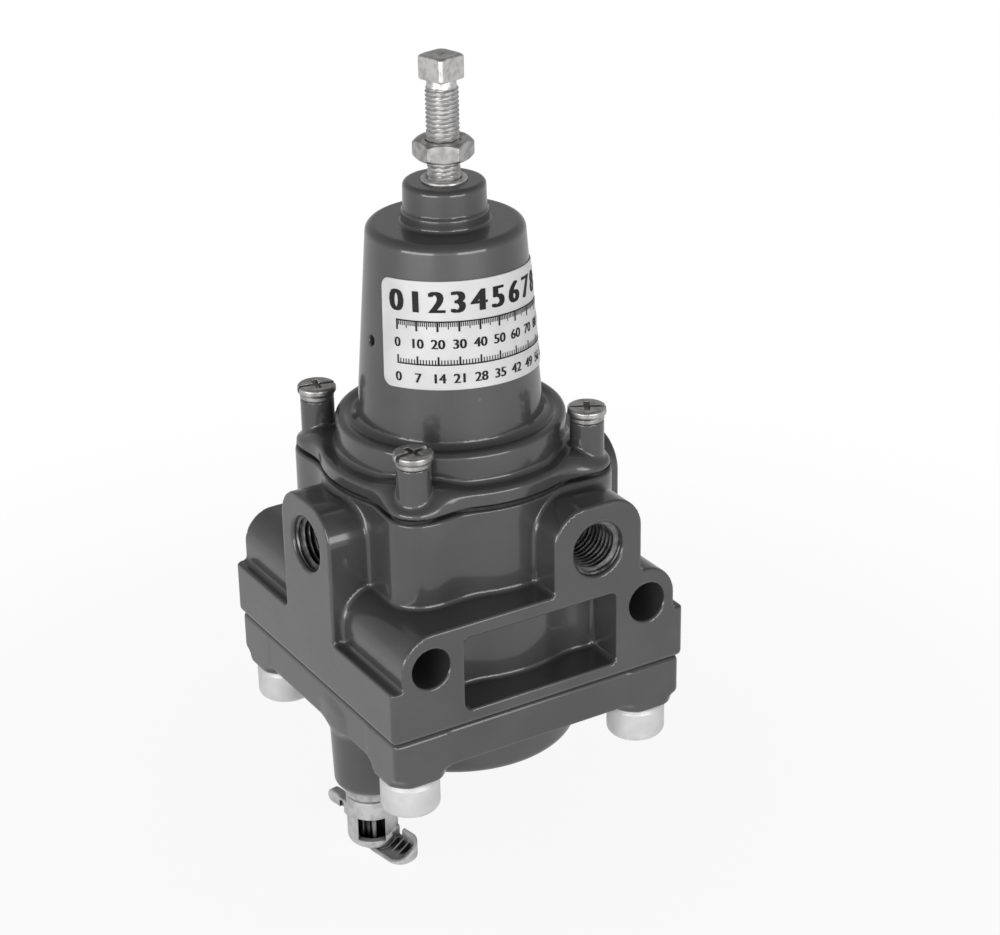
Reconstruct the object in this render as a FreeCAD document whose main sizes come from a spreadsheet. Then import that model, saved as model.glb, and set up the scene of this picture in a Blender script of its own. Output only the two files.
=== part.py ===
import FreeCAD, Part
import math
import os
import Sketcher

# Precision pressure regulator with an integral filter and a drain.
# Lengths are in millimetres and angles in degrees.
# Each piece is drawn about the main axis, with height 0 on the joint between body and bottom cover.
# The row's origin is the middle of the rear mounting face, between the two mounting bolts.

doc = FreeCAD.newDocument("PrecisionPressureRegulator")
sheet = doc.addObject("Spreadsheet::Sheet", "Sizes")
results = doc.addObject("Spreadsheet::Sheet", "Results")

SIZES = {
    # body casting
    "body_width": 82.5,
    "plate_thickness": 14.0,
    "plate_corner_radius": 3.5,
    "shoulder_width": 76.6,
    "shoulder_height": 27.2,
    "shoulder_radius": 8.4,
    "barrel_radius": 32.5,
    "body_height": 49.6,
    "mount_hole_spacing": 60.8,
    "mount_hole_height": 18.0,
    "mount_hole_radius": 5.1,
    "recess_width": 42.8,
    "recess_floor": 4.0,
    "recess_height": 19.2,
    "recess_depth": 24.0,
    "recess_corner_radius": 1.2,
    "ear_offset": 24.06,
    "ear_radius": 5.7,
    "ear_fillet": 4.0,
    # ports, 1/4-18 taper pipe thread
    "port_height": 36.4,
    "port_radius": 6.5,
    "port_depth": 14.0,
    "port_chamfer": 0.8,
    "port_core_radius": 4.2,
    "port_core_depth": 21.5,
    "gauge_port_offset": 16.2,
    "gauge_core_radius": 3.0,
    "gauge_core_depth": 26.5,
    "pad_width": 24.8,
    "pad_height": 48.3,
    "pad_radius": 8.7,
    "passage_radius": 3.2,
    "inlet_passage_offset": 19.9,
    "outlet_passage_offset": 19.6,
    "gauge_passage_radius": 2.0,
    "gauge_passage_offset": 15.4,
    # chambers in the body
    "filter_chamber_radius": 23.2,
    "filter_chamber_height": 27.0,
    "web_top": 45.0,
    "clamp_radius": 24.0,
    "valve_chamber_radius": 10.0,
    "valve_chamber_top": 38.0,
    "seat_bore_radius": 6.0,
    # diaphragm assembly
    "diaphragm_thickness": 0.8,
    "convolution_radius": 20.6,
    "convolution_height": 2.2,
    "upper_plate_radius": 17.6,
    "upper_plate_thickness": 1.6,
    "upper_plate_rim_height": 2.6,
    "lower_plate_radius": 16.0,
    "lower_plate_thickness": 1.4,
    "relief_stud_radius": 3.5,
    "relief_flange_radius": 6.4,
    "relief_flange_thickness": 1.4,
    "relief_bore_radius": 1.6,
    "relief_seat_radius": 0.9,
    "relief_seat_depth": 1.2,
    "diaphragm_nut_flats": 11.1,
    "diaphragm_nut_height": 3.2,
    # bonnet
    "flange_thickness": 4.1,
    "step_radius": 28.2,
    "step_height": 7.8,
    "step_wall": 3.4,
    "dome_base_radius": 22.7,
    "dome_top_radius": 19.1,
    "dome_height": 47.2,
    "dome_wall": 2.8,
    "dome_edge_fillet": 3.0,
    "nose_base_radius": 10.0,
    "nose_top_radius": 9.4,
    "nose_height": 10.9,
    "nose_edge_fillet": 2.0,
    "neck_fillet": 1.2,
    "screw_boss_radius": 4.2,
    "screw_boss_height": 8.0,
    "vent_radius": 1.3,
    "vent_height": 84.7,
    "bushing_radius": 5.4,
    "bushing_flange_radius": 6.15,
    "bushing_flange_height": 1.2,
    "bushing_length": 12.0,
    # label plate on the bonnet
    "label_angle": 150.0,
    "label_bottom": 76.0,
    "label_height": 27.0,
    "label_thickness": 0.3,
    # adjusting screw, 5/16-24, and its lock nut
    "screw_radius": 3.97,
    "thread_clearance": 0.06,
    "screw_tip_height": 86.0,
    "screw_length": 59.0,
    "screw_undercut_radius": 3.35,
    "screw_undercut_length": 1.6,
    "screw_tip_chamfer": 1.0,
    "screw_head_flats": 7.94,
    "screw_head_height": 5.9,
    "screw_head_crown": 0.9,
    "lock_nut_flats": 12.7,
    "lock_nut_height": 4.8,
    "lock_nut_bottom": 126.1,
    "hex_chamfer": 0.7,
    # range spring and its upper seat
    "upper_seat_radius": 13.6,
    "upper_seat_thickness": 3.0,
    "upper_seat_boss_radius": 6.4,
    "upper_seat_boss_height": 5.0,
    "upper_seat_floor": 1.0,
    "upper_seat_spigot_radius": 9.2,
    "upper_seat_spigot_height": 2.0,
    "range_spring_radius": 11.6,
    "range_spring_wire": 2.4,
    "range_spring_turns": 6.0,
    # supply valve
    "seat_flange_radius": 8.4,
    "seat_flange_thickness": 1.5,
    "seat_lip_radius": 3.7,
    "seat_lip_height": 0.6,
    "orifice_radius": 2.8,
    "valve_stem_radius": 1.2,
    "valve_disc_thickness": 1.5,
    "valve_disc_radius": 4.7,
    "valve_plug_radius": 5.2,
    "valve_plug_height": 2.8,
    "valve_tail_radius": 2.0,
    "valve_tail_length": 8.4,
    "valve_spring_radius": 4.1,
    "valve_spring_wire": 0.5,
    "valve_spring_turns": 2.5,
    "guide_flange_radius": 17.0,
    "guide_flange_thickness": 2.5,
    "guide_spigot_height": 1.6,
    "guide_boss_radius": 3.2,
    "guide_boss_height": 1.4,
    "guide_hub_radius": 4.6,
    "guide_hub_height": 6.0,
    "guide_bore_depth": 8.6,
    "guide_hole_radius": 1.5,
    "guide_hole_circle": 7.4,
    "post_radius": 2.9,
    # filter
    "filter_outer_radius": 19.5,
    "filter_inner_radius": 12.5,
    "filter_length": 33.0,
    "filter_gasket_thickness": 1.6,
    "filter_gasket_radius": 16.6,
    "retainer_radius": 18.6,
    "retainer_thickness": 1.5,
    "retainer_lip": 3.0,
    "filter_nut_flats": 9.5,
    "filter_nut_height": 3.2,
    "post_overhang": 0.8,
    # bottom cover
    "cover_inset": 0.6,
    "cover_thickness": 8.0,
    "cover_corner_radius": 3.2,
    "cover_screw_offset": 33.7,
    "lobe_radius": 8.2,
    "lobe_depth": 3.8,
    "lobe_fillet": 3.0,
    "bowl_radius": 30.3,
    "bowl_depth": 24.0,
    "bowl_wall": 3.0,
    "bowl_edge_fillet": 2.4,
    "seal_radius": 29.6,
    "seal_section_radius": 1.0,
    "cap_head_radius": 7.3,
    "cap_head_height": 10.9,
    "cap_head_fillet": 1.2,
    "cap_screw_radius": 4.7,
    "cap_screw_reach": 9.4,
    "cap_socket_flats": 7.94,
    "cap_socket_depth": 5.0,
    "screw_hole_clearance": 0.15,
    # bonnet screws
    "bonnet_screw_radius": 2.4,
    "bonnet_screw_reach": 12.0,
    "bonnet_screw_head_radius": 5.05,
    "bonnet_screw_head_height": 2.1,
    "bonnet_screw_washer_radius": 4.5,
    "bonnet_screw_washer_height": 1.2,
    "bonnet_screw_slot_width": 1.1,
    "bonnet_screw_slot_depth": 1.1,
    # drain
    "drain_x": -31.0,
    "drain_y": -9.0,
    "drain_boss_top_radius": 9.8,
    "drain_boss_bottom_radius": 9.0,
    "drain_boss_depth": 29.0,
    "drain_thread_radius": 6.6,
    "drain_thread_length": 10.0,
    "drain_collar_radius": 6.85,
    "drain_collar_height": 5.2,
    "drain_spigot_radius": 4.5,
    "drain_spigot_length": 9.6,
    "drain_bore_radius": 1.6,
    "drain_seal_radius": 3.9,
    "drain_seal_thickness": 1.5,
    "drain_gap": 0.4,
    "drain_cap_radius": 6.4,
    "drain_cap_floor": 1.6,
    "drain_window_width": 6.1,
    "drain_window_sill": 3.2,
    "drain_window_height": 7.4,
    "drain_wing_reach": 14.2,
    "drain_wing_thickness": 2.4,
    "drain_wing_height": 5.6,
    "drain_wing_level": 6.6,
    "drain_wing_tip_width": 7.0,
    "drain_wing_tip_thickness": 2.0,
    "drain_wing_angle": -75.5,
    "drain_window_angle": -44.3,
}

for row, (alias, size) in enumerate(SIZES.items(), start=1):
    sheet.set(f"A{row}", alias)
    sheet.set(f"B{row}", str(size))
    sheet.setAlias(f"B{row}", alias)
doc.recompute()

# heights that several pieces share, as expressions of the sizes
BONNET_BASE = "(body_height + diaphragm_thickness)"
FLANGE_TOP = f"({BONNET_BASE} + flange_thickness)"
STEP_TOP = f"({FLANGE_TOP} + step_height)"
DOME_TOP = f"({STEP_TOP} + dome_height)"
NOSE_TOP = f"({DOME_TOP} + nose_height)"
UPPER_SEAT_BOTTOM = "(screw_tip_height - upper_seat_floor - upper_seat_thickness)"
UPPER_PLATE_TOP = f"({BONNET_BASE} + upper_plate_thickness)"
RELIEF_BOTTOM = "(body_height - lower_plate_thickness - relief_flange_thickness)"
SEAT_LIP = "(valve_chamber_top - seat_flange_thickness - seat_lip_height)"
PLUG_BOTTOM = f"({SEAT_LIP} - valve_disc_thickness - valve_plug_height)"
GUIDE_FLANGE_BOTTOM = "(filter_chamber_height - guide_flange_thickness)"
GUIDE_BOSS_TOP = "(filter_chamber_height + guide_spigot_height + guide_boss_height)"
FILTER_TOP = f"({GUIDE_FLANGE_BOTTOM} - filter_gasket_thickness)"
FILTER_BOTTOM = f"({FILTER_TOP} - filter_length)"
RETAINER_TOP = f"({FILTER_BOTTOM} - filter_gasket_thickness)"
RETAINER_BOTTOM = f"({RETAINER_TOP} - retainer_thickness)"
LOBE_BOTTOM = "(cover_thickness + lobe_depth)"
MAIN_AXIS = ("0", "-body_width / 2", "-mount_hole_height")


def formula(text):
    """Turn a formula of plain size names into one that reads the sheet."""
    words = []
    word = ""
    for letter in text + " ":
        if letter.isalnum() or letter == "_":
            word += letter
            continue
        words.append("Sizes." + word if word in SIZES else word)
        words.append(letter)
        word = ""
    return "".join(words).strip()


def bind(thing, **formulas):
    """Bind properties of an object to formulas; a double underscore stands for a dot."""
    for name, text in formulas.items():
        thing.setExpression(name.replace("__", "."), formula(str(text)))


def value(alias):
    """The present number of one size."""
    return float(sheet.get(alias))


def number(text):
    """The present number of a formula of sizes."""
    results.set("A1", "=" + formula(text))
    results.recompute()
    return float(results.get("A1"))


def place(thing, where, turn=None):
    """Put a sub-part at a place given by three formulas, turned about +Z by a formula."""
    for axis, text in zip("xyz", where):
        thing.setExpression(f"Placement.Base.{axis}", formula(text))
    if turn is not None:
        thing.setExpression("Placement.Rotation.Yaw", formula(turn))


def shifted(x, y, z):
    """A place given from the main axis at the body's bottom face, as row formulas."""
    return (x, f"{y} - body_width / 2", f"{z} - mount_hole_height")


class Piece:
    """One solid sub-part, built feature by feature."""

    def __init__(self, name, where=MAIN_AXIS, turn=None):
        self.body = doc.addObject("PartDesign::Body", name)
        self.body.Label = name
        self.planes = {item.Role: item for item in self.body.Origin.OriginFeatures}
        place(self.body, where, turn)

    def solid(self, kind, plane, at, angle="0", **formulas):
        """Add or take away a basic solid; `at` is its place in the plane's own axes."""
        feature = self.body.newObject("PartDesign::" + kind, kind)
        feature.AttachmentSupport = (self.planes[plane + "_Plane"], "")
        feature.MapMode = "FlatFace"
        feature.Refine = kind.startswith("Additive")
        bind(feature, **formulas)
        for axis, text in zip("xyz", at):
            feature.setExpression(f"AttachmentOffset.Base.{axis}", formula(text))
        if angle != "0":
            feature.setExpression("AttachmentOffset.Rotation.Yaw", formula(angle))
        doc.recompute()
        return feature

    def block(self, x, y, z, length, width, height, take=False):
        """A box centred on x and y whose lower face is at z."""
        kind = "SubtractiveBox" if take else "AdditiveBox"
        at = (f"{x} - ({length}) / 2", f"{y} - ({width}) / 2", z)
        return self.solid(kind, "XY", at, Length=length, Width=width, Height=height)

    def post(self, x, y, z, radius, height, take=False):
        """An upright cylinder whose lower face is at z."""
        kind = "SubtractiveCylinder" if take else "AdditiveCylinder"
        return self.solid(kind, "XY", (x, y, z), Radius=radius, Height=height)

    def turned(self, outline, take=False):
        """Revolve a closed outline of (radius, height) formulas about the piece's axis."""
        sketch = self.body.newObject("Sketcher::SketchObject", "Profile")
        sketch.AttachmentSupport = (self.planes["XZ_Plane"], "")
        sketch.MapMode = "FlatFace"
        self.draw(sketch, outline)
        kind = "PartDesign::Groove" if take else "PartDesign::Revolution"
        feature = self.body.newObject(kind, "Turned")
        feature.Profile = sketch
        feature.ReferenceAxis = (sketch, ["V_Axis"])
        feature.Angle = 360
        sketch.Visibility = False
        doc.recompute()
        return feature

    def draw(self, sketch, outline):
        """Draw a closed outline whose corners are dimensioned from the sketch's origin."""
        count = len(outline)
        # the corners start on a circle, so that no line begins with no length
        start = [FreeCAD.Vector(10, 0, 0)]
        for index in range(1, count):
            turn = FreeCAD.Rotation(FreeCAD.Vector(0, 0, 1), 360.0 * index / count)
            start.append(turn.multVec(start[0]))
        for index in range(count):
            line = Part.LineSegment(start[index], start[(index + 1) % count])
            sketch.addGeometry(line, False)
        for index in range(count):
            joint = Sketcher.Constraint("Coincident", index, 2, (index + 1) % count, 1)
            sketch.addConstraint(joint)
        for index, corner in enumerate(outline):
            for kind, text in zip(("DistanceX", "DistanceY"), corner):
                rough = start[index].x if kind == "DistanceX" else start[index].y
                number = sketch.addConstraint(
                    Sketcher.Constraint(kind, -1, 1, index, 1, rough))
                sketch.setExpression(f"Constraints[{number}]", formula(text))

    def hexagon(self, flats, z, height, take=False):
        """A hexagonal prism about the piece's axis, sized across its flats."""
        kind = "SubtractivePrism" if take else "AdditivePrism"
        feature = self.solid(kind, "XY", ("0", "0", z), Height=height,
                             Circumradius=f"({flats}) / 2 / cos(30)")
        feature.Polygon = 6
        doc.recompute()
        return feature

    def edges(self, keep):
        """Names of the tip's edges that a test keeps."""
        shape = self.body.Tip.Shape
        return [f"Edge{n}" for n, edge in enumerate(shape.Edges, start=1) if keep(edge)]

    def fillet(self, radius, keep):
        return self.dress("PartDesign::Fillet", "Radius", radius, keep)

    def chamfer(self, size, keep):
        return self.dress("PartDesign::Chamfer", "Size", size, keep)

    def dress(self, kind, size_name, size, keep):
        """Round or bevel the edges that a test keeps."""
        base = self.body.Tip
        names = self.edges(keep)
        if not names:
            raise ValueError(f"{self.body.Label}: no edge to dress with {size}")
        feature = self.body.newObject(kind, kind.split("::")[1])
        feature.Base = (base, names)
        bind(feature, **{size_name: size})
        doc.recompute()
        if "Invalid" in feature.State:
            raise RuntimeError(f"{self.body.Label}: {kind} of {size} failed on {names}")
        return feature

    def round_pattern(self, features, count):
        """Repeat features evenly about the piece's axis."""
        pattern = self.body.newObject("PartDesign::PolarPattern", "Ring")
        pattern.Originals = features
        axes = [item for item in self.body.Origin.OriginFeatures if item.Role == "Z_Axis"]
        pattern.Axis = (axes[0], [""])
        pattern.Angle = 360
        pattern.Occurrences = count
        self.body.Tip = pattern
        doc.recompute()
        return pattern


def is_upright(edge):
    """True for a straight edge that runs along Z."""
    if not isinstance(edge.Curve, Part.Line):
        return False
    return abs(edge.Curve.Direction.z) > 0.999


def middle(edge):
    """The point half way along an edge."""
    first, last = edge.ParameterRange
    return edge.valueAt((first + last) / 2)


def reach(point):
    """Distance of a point from the piece's axis."""
    return (point.x ** 2 + point.y ** 2) ** 0.5


def is_level(edge, height, near=0.01):
    """True for an edge that lies wholly at one height."""
    box = edge.BoundBox
    return abs(box.ZMin - height) < near and abs(box.ZMax - height) < near


def ring_at(edge, radius, height, near=0.02):
    """True for a round edge about the piece's axis, of one radius and height."""
    if not is_level(edge, height, near) or not isinstance(edge.Curve, Part.Circle):
        return False
    return abs(edge.Curve.Radius - radius) < near and reach(edge.Curve.Center) < near


def four_posts(piece, offset, z, radius, height, take=False):
    """Four alike upright cylinders, one in each quadrant."""
    post = piece.post(offset, offset, z, radius, height, take)
    return piece.round_pattern([post], 4)


def add_ears(piece, z, height):
    """Four upright lugs that carry the bonnet screws."""
    four_posts(piece, "ear_offset", z, "ear_radius", height)


def is_ear_valley(edge):
    """True for the upright inner corners where a lug meets the round wall."""
    if not is_upright(edge):
        return False
    return abs(reach(middle(edge)) - value("barrel_radius")) < 0.05


# sub-parts

def make_body():
    """Die-cast body: base plate, square shoulder, round barrel, three port pads and passages."""
    piece = Piece("body")
    half = value("body_width") / 2
    top = value("shoulder_height")
    piece.post("0", "0", "0", "barrel_radius", "body_height")
    add_ears(piece, "0", "body_height")
    piece.fillet("ear_fillet", is_ear_valley)
    piece.block("0", "0", "0", "body_width", "body_width", "plate_thickness")
    piece.fillet("plate_corner_radius", lambda edge: is_upright(edge)
                 and abs(abs(middle(edge).x) - half) < 0.01)
    piece.block("0", "0", "0", "shoulder_width", "body_width", "shoulder_height")
    piece.fillet("shoulder_radius", lambda edge: is_level(edge, top)
                 and abs(abs(middle(edge).x) - value("shoulder_width") / 2) < 0.01)
    front = "(-body_width / 2 + recess_depth / 2)"
    piece.block("0", front, "recess_floor", "recess_width", "recess_depth", "recess_height",
                take=True)
    piece.fillet("recess_corner_radius", lambda edge: isinstance(edge.Curve, Part.Line)
                 and abs(edge.Curve.Direction.y) > 0.999
                 and abs(abs(middle(edge).x) - value("recess_width") / 2) < 0.01)
    piece.post("0", "0", "recess_floor / 2", "barrel_radius", "recess_floor / 2 + recess_height + 1")
    add_pads(piece)
    cut_ports(piece)
    cut_mount_holes(piece)
    cut_chambers(piece)
    cut_screw_holes(piece)
    return piece.body


def add_pads(piece):
    """Inlet and outlet pads at the sides, gauge pad at the front, all flush with the plate."""
    inner = "(barrel_radius * 0.8)"
    depth = f"(body_width / 2 - {inner})"
    top = value("pad_height")
    half = value("pad_width") / 2
    centre = value("gauge_port_offset")
    for side, start in ((-1, "-body_width / 2"), (1, inner)):
        piece.solid("AdditiveBox", "YZ", ("-pad_width / 2", "plate_thickness", start),
                    Length="pad_width", Width="pad_height - plate_thickness", Height=depth)
        piece.fillet("pad_radius", lambda edge: is_level(edge, top)
                     and abs(abs(middle(edge).y) - half) < 0.01
                     and middle(edge).x * side > 0)
    floor = "(recess_floor + recess_height)"
    piece.solid("AdditiveBox", "XZ", ("gauge_port_offset - pad_width / 2", floor, inner),
                Length="pad_width", Width=f"pad_height - {floor}", Height=depth)
    piece.fillet("pad_radius", lambda edge: is_level(edge, top) and middle(edge).y < 0
                 and abs(abs(middle(edge).x - centre) - half) < 0.01)


def cut_ports(piece):
    """Three ports with their core holes, and the bevel at each mouth."""
    for side in (-1, 1):
        along = f"{side} * body_width / 2"
        for radius, depth in (("port_radius", "port_depth"),
                              ("port_core_radius", "port_core_depth")):
            start = along if side < 0 else f"body_width / 2 - {depth}"
            piece.solid("SubtractiveCylinder", "YZ", ("0", "port_height", start),
                        Radius=radius, Height=depth)
    for radius, depth in (("port_radius", "port_depth"),
                          ("gauge_core_radius", "gauge_core_depth")):
        piece.solid("SubtractiveCylinder", "XZ",
                    ("gauge_port_offset", "port_height", f"body_width / 2 - {depth}"),
                    Radius=radius, Height=depth)
    half = value("body_width") / 2
    piece.chamfer("port_chamfer", lambda edge: isinstance(edge.Curve, Part.Circle)
                  and abs(edge.Curve.Radius - value("port_radius")) < 0.01
                  and max(abs(edge.Curve.Center.x), abs(edge.Curve.Center.y)) > half - 0.01)


def cut_mount_holes(piece):
    """Two through holes for the mounting bolts, from the front face to the rear face."""
    for side in (-1, 1):
        piece.solid("SubtractiveCylinder", "XZ",
                    (f"{side} * mount_hole_spacing / 2", "mount_hole_height", "-body_width / 2"),
                    Radius="mount_hole_radius", Height="body_width")


def cut_chambers(piece):
    """Filter chamber, valve chamber, diaphragm chamber and the passages between them."""
    piece.turned([
        ("0", "0"),
        ("filter_chamber_radius", "0"),
        ("filter_chamber_radius", "filter_chamber_height"),
        ("valve_chamber_radius", "filter_chamber_height"),
        ("valve_chamber_radius", "valve_chamber_top"),
        ("seat_bore_radius", "valve_chamber_top"),
        ("seat_bore_radius", "web_top"),
        ("clamp_radius", "web_top"),
        ("clamp_radius", "body_height"),
        ("0", "body_height"),
    ], take=True)
    piece.post("-inlet_passage_offset", "0", "filter_chamber_height", "passage_radius",
               "port_height - filter_chamber_height", take=True)
    piece.post("outlet_passage_offset", "0", "port_height", "passage_radius",
               "web_top - port_height", take=True)
    piece.post("gauge_port_offset", "-gauge_passage_offset", "port_height",
               "gauge_passage_radius", "web_top - port_height", take=True)


def cut_screw_holes(piece):
    """Blind threaded holes for the bonnet screws above and the cover screws below."""
    upper = "bonnet_screw_reach + 1.5"
    four_posts(piece, "ear_offset", f"body_height - ({upper})",
               "bonnet_screw_radius + thread_clearance", upper, take=True)
    four_posts(piece, "cover_screw_offset", "0", "cap_screw_radius + thread_clearance",
               "cap_screw_reach + 1", take=True)


def make_bonnet():
    """Die-cast spring bonnet: eared flange, step, tapered dome and nose."""
    piece = Piece("bonnet")
    inner_step = "(step_radius - step_wall)"
    dome_in = "(dome_base_radius - dome_wall)"
    dome_in_top = "(dome_top_radius - dome_wall)"
    piece.turned([
        ("clamp_radius", BONNET_BASE),
        ("barrel_radius", BONNET_BASE),
        ("barrel_radius", FLANGE_TOP),
        ("step_radius", FLANGE_TOP),
        ("step_radius", STEP_TOP),
        ("dome_base_radius", STEP_TOP),
        ("dome_top_radius", DOME_TOP),
        ("nose_base_radius", DOME_TOP),
        ("nose_top_radius", NOSE_TOP),
        ("bushing_radius", NOSE_TOP),
        ("bushing_radius", f"{DOME_TOP} - 2 * dome_wall"),
        (dome_in_top, f"{DOME_TOP} - 2 * dome_wall"),
        (dome_in, f"{STEP_TOP} - 2"),
        (inner_step + " - 1", f"{STEP_TOP} - step_wall"),
        ("clamp_radius", f"{BONNET_BASE} + 2"),
    ])
    add_ears(piece, BONNET_BASE, "flange_thickness")
    piece.fillet("ear_fillet", is_ear_valley)
    step_top = number(STEP_TOP)
    dome_top = number(DOME_TOP)
    nose_top = number(NOSE_TOP)
    four_posts(piece, "ear_offset", FLANGE_TOP, "screw_boss_radius", "screw_boss_height")
    piece.fillet("nose_edge_fillet",
                 lambda edge: ring_at(edge, value("nose_top_radius"), nose_top))
    piece.fillet("dome_edge_fillet",
                 lambda edge: ring_at(edge, value("dome_top_radius"), dome_top))
    piece.fillet("neck_fillet",
                 lambda edge: ring_at(edge, value("nose_base_radius"), dome_top)
                 or ring_at(edge, value("dome_base_radius"), step_top)
                 or ring_at(edge, value("step_radius"), step_top))
    four_posts(piece, "ear_offset", BONNET_BASE, "bonnet_screw_radius + screw_hole_clearance",
               "flange_thickness + screw_boss_height", take=True)
    piece.solid("SubtractiveCylinder", "YZ", ("0", "vent_height", "-dome_base_radius"),
                Radius="vent_radius", Height="dome_base_radius")
    return piece.body


def make_label():
    """Thin plate that wraps the dome's front."""
    piece = Piece("scale_plate")
    slope = "((dome_top_radius - dome_base_radius) / dome_height)"
    low = f"(dome_base_radius + {slope} * (label_bottom - {STEP_TOP}))"
    high = f"({low} + {slope} * label_height)"
    top = "(label_bottom + label_height)"
    sketch_ring = [
        (low, "label_bottom"),
        (f"{low} + label_thickness", "label_bottom"),
        (f"{high} + label_thickness", top),
        (high, top),
    ]
    ring = piece.turned(sketch_ring)
    ring.setExpression("Angle", formula("label_angle"))
    place(piece.body, MAIN_AXIS, "-90 - label_angle / 2")
    return piece.body


def make_bushing():
    """Flanged steel bushing in the nose, threaded for the adjusting screw."""
    piece = Piece("nose_bushing")
    bore = "(screw_radius + thread_clearance)"
    piece.turned([
        (bore, f"{NOSE_TOP} - bushing_length"),
        ("bushing_radius", f"{NOSE_TOP} - bushing_length"),
        ("bushing_radius", NOSE_TOP),
        ("bushing_flange_radius", NOSE_TOP),
        ("bushing_flange_radius", f"{NOSE_TOP} + bushing_flange_height * 0.6"),
        ("bushing_flange_radius - 0.5", f"{NOSE_TOP} + bushing_flange_height"),
        (bore + " + 0.4", f"{NOSE_TOP} + bushing_flange_height"),
        (bore, f"{NOSE_TOP} + bushing_flange_height - 0.4"),
    ])
    return piece.body


def make_adjusting_screw():
    """Square-head set screw that loads the range spring."""
    piece = Piece("adjusting_screw")
    under_head = "(screw_tip_height + screw_length)"
    piece.block("0", "0", under_head, "screw_head_flats", "screw_head_flats",
                "screw_head_height")
    crown = "(screw_head_flats / 2 * 1.414214)"
    top = f"({under_head} + screw_head_height)"
    edge = "(screw_head_flats / 2 * 1.12)"
    piece.turned([
        (edge, top),
        (crown, f"{top} - screw_head_crown"),
        (f"{crown} + 2", f"{top} - screw_head_crown"),
        (f"{crown} + 2", f"{top} + 1"),
        (edge, f"{top} + 1"),
    ], take=True)
    piece.turned([
        ("0", "screw_tip_height"),
        ("screw_radius - screw_tip_chamfer", "screw_tip_height"),
        ("screw_radius", "screw_tip_height + screw_tip_chamfer"),
        ("screw_radius", f"{under_head} - screw_undercut_length"),
        ("screw_undercut_radius", f"{under_head} - screw_undercut_length * 0.6"),
        ("screw_undercut_radius", under_head),
        ("0", under_head),
    ])
    return piece.body


def bevel_hexagon(piece, flats, bottom, top, size="hex_chamfer"):
    """Turn down the corners of a nut at both ends."""
    corner = f"({flats} / 2 / cos(30))"
    flat = f"({flats} / 2)"
    for level, out in ((bottom, -1), (top, 1)):
        piece.turned([
            (f"{flat} - 0.1", level),
            (f"{corner} + 1", f"{level} - {out} * {size} * ({corner} + 1.1 - {flat})"
                              f" / ({corner} + 0.1 - {flat})"),
            (f"{corner} + 1", f"{level} + {out}"),
            (f"{flat} - 0.1", f"{level} + {out}"),
        ], take=True)


def make_nut(name, flats, bottom, height, bore):
    """Plain hexagon nut with bevelled corners and a through bore."""
    piece = Piece(name)
    piece.hexagon(flats, bottom, height)
    bevel_hexagon(piece, flats, bottom, f"({bottom} + {height})")
    piece.post("0", "0", bottom, bore, height, take=True)
    return piece.body


def make_upper_seat():
    """Steel button between the adjusting screw's tip and the range spring."""
    piece = Piece("upper_spring_seat")
    bottom = UPPER_SEAT_BOTTOM
    top = f"({bottom} + upper_seat_thickness)"
    boss_top = f"({top} + upper_seat_boss_height)"
    piece.turned([
        ("0", f"{bottom} - upper_seat_spigot_height"),
        ("upper_seat_spigot_radius", f"{bottom} - upper_seat_spigot_height"),
        ("upper_seat_spigot_radius", bottom),
        ("upper_seat_radius", bottom),
        ("upper_seat_radius", top),
        ("upper_seat_boss_radius", top),
        ("upper_seat_boss_radius", boss_top),
        ("screw_radius + thread_clearance", boss_top),
        ("screw_radius + thread_clearance", "screw_tip_height"),
        ("0", "screw_tip_height"),
    ])
    return piece.body


def make_spring(name, radius, wire, turns, bottom, top):
    """Round-wire compression spring between two levels, as a tube skinned over rings of points."""
    per_turn = 8
    around = 8
    coil_radius = number(radius)
    wire_radius = number(wire) / 2
    rise = number(f"{top} - {bottom} - {wire}")
    steps = round(per_turn * number(turns))
    sweep = 2 * math.pi * number(turns)
    slope = rise / (sweep * coil_radius)
    rings = []
    for step in range(steps + 1):
        turn = sweep * step / steps
        out = FreeCAD.Vector(math.cos(turn), math.sin(turn), 0)
        along = FreeCAD.Vector(-math.sin(turn), math.cos(turn), slope).normalize()
        up = out.cross(along)
        centre = out * coil_radius + FreeCAD.Vector(0, 0, rise * step / steps)
        ring = []
        for point in range(around + 1):
            lean = 2 * math.pi * point / around
            ring.append(centre + (out * math.cos(lean) + up * math.sin(lean)) * wire_radius)
        rings.append(ring)
    skin = Part.BSplineSurface()
    skin.interpolate(rings)
    tube = skin.toShape()
    ends = [edge for edge in tube.Edges if edge.Length < 4 * math.pi * wire_radius]
    caps = [Part.Face(Part.Wire([edge])) for edge in ends]
    coil = Part.Solid(Part.Shell([tube] + caps))
    coil.fix(1e-4, 1e-4, 1e-4)
    spring = doc.addObject("Part::Feature", name)
    spring.Label = name
    spring.Shape = coil
    place(spring, shifted("0", "0", f"{bottom} + {wire} / 2"))
    doc.recompute()
    return spring


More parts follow.
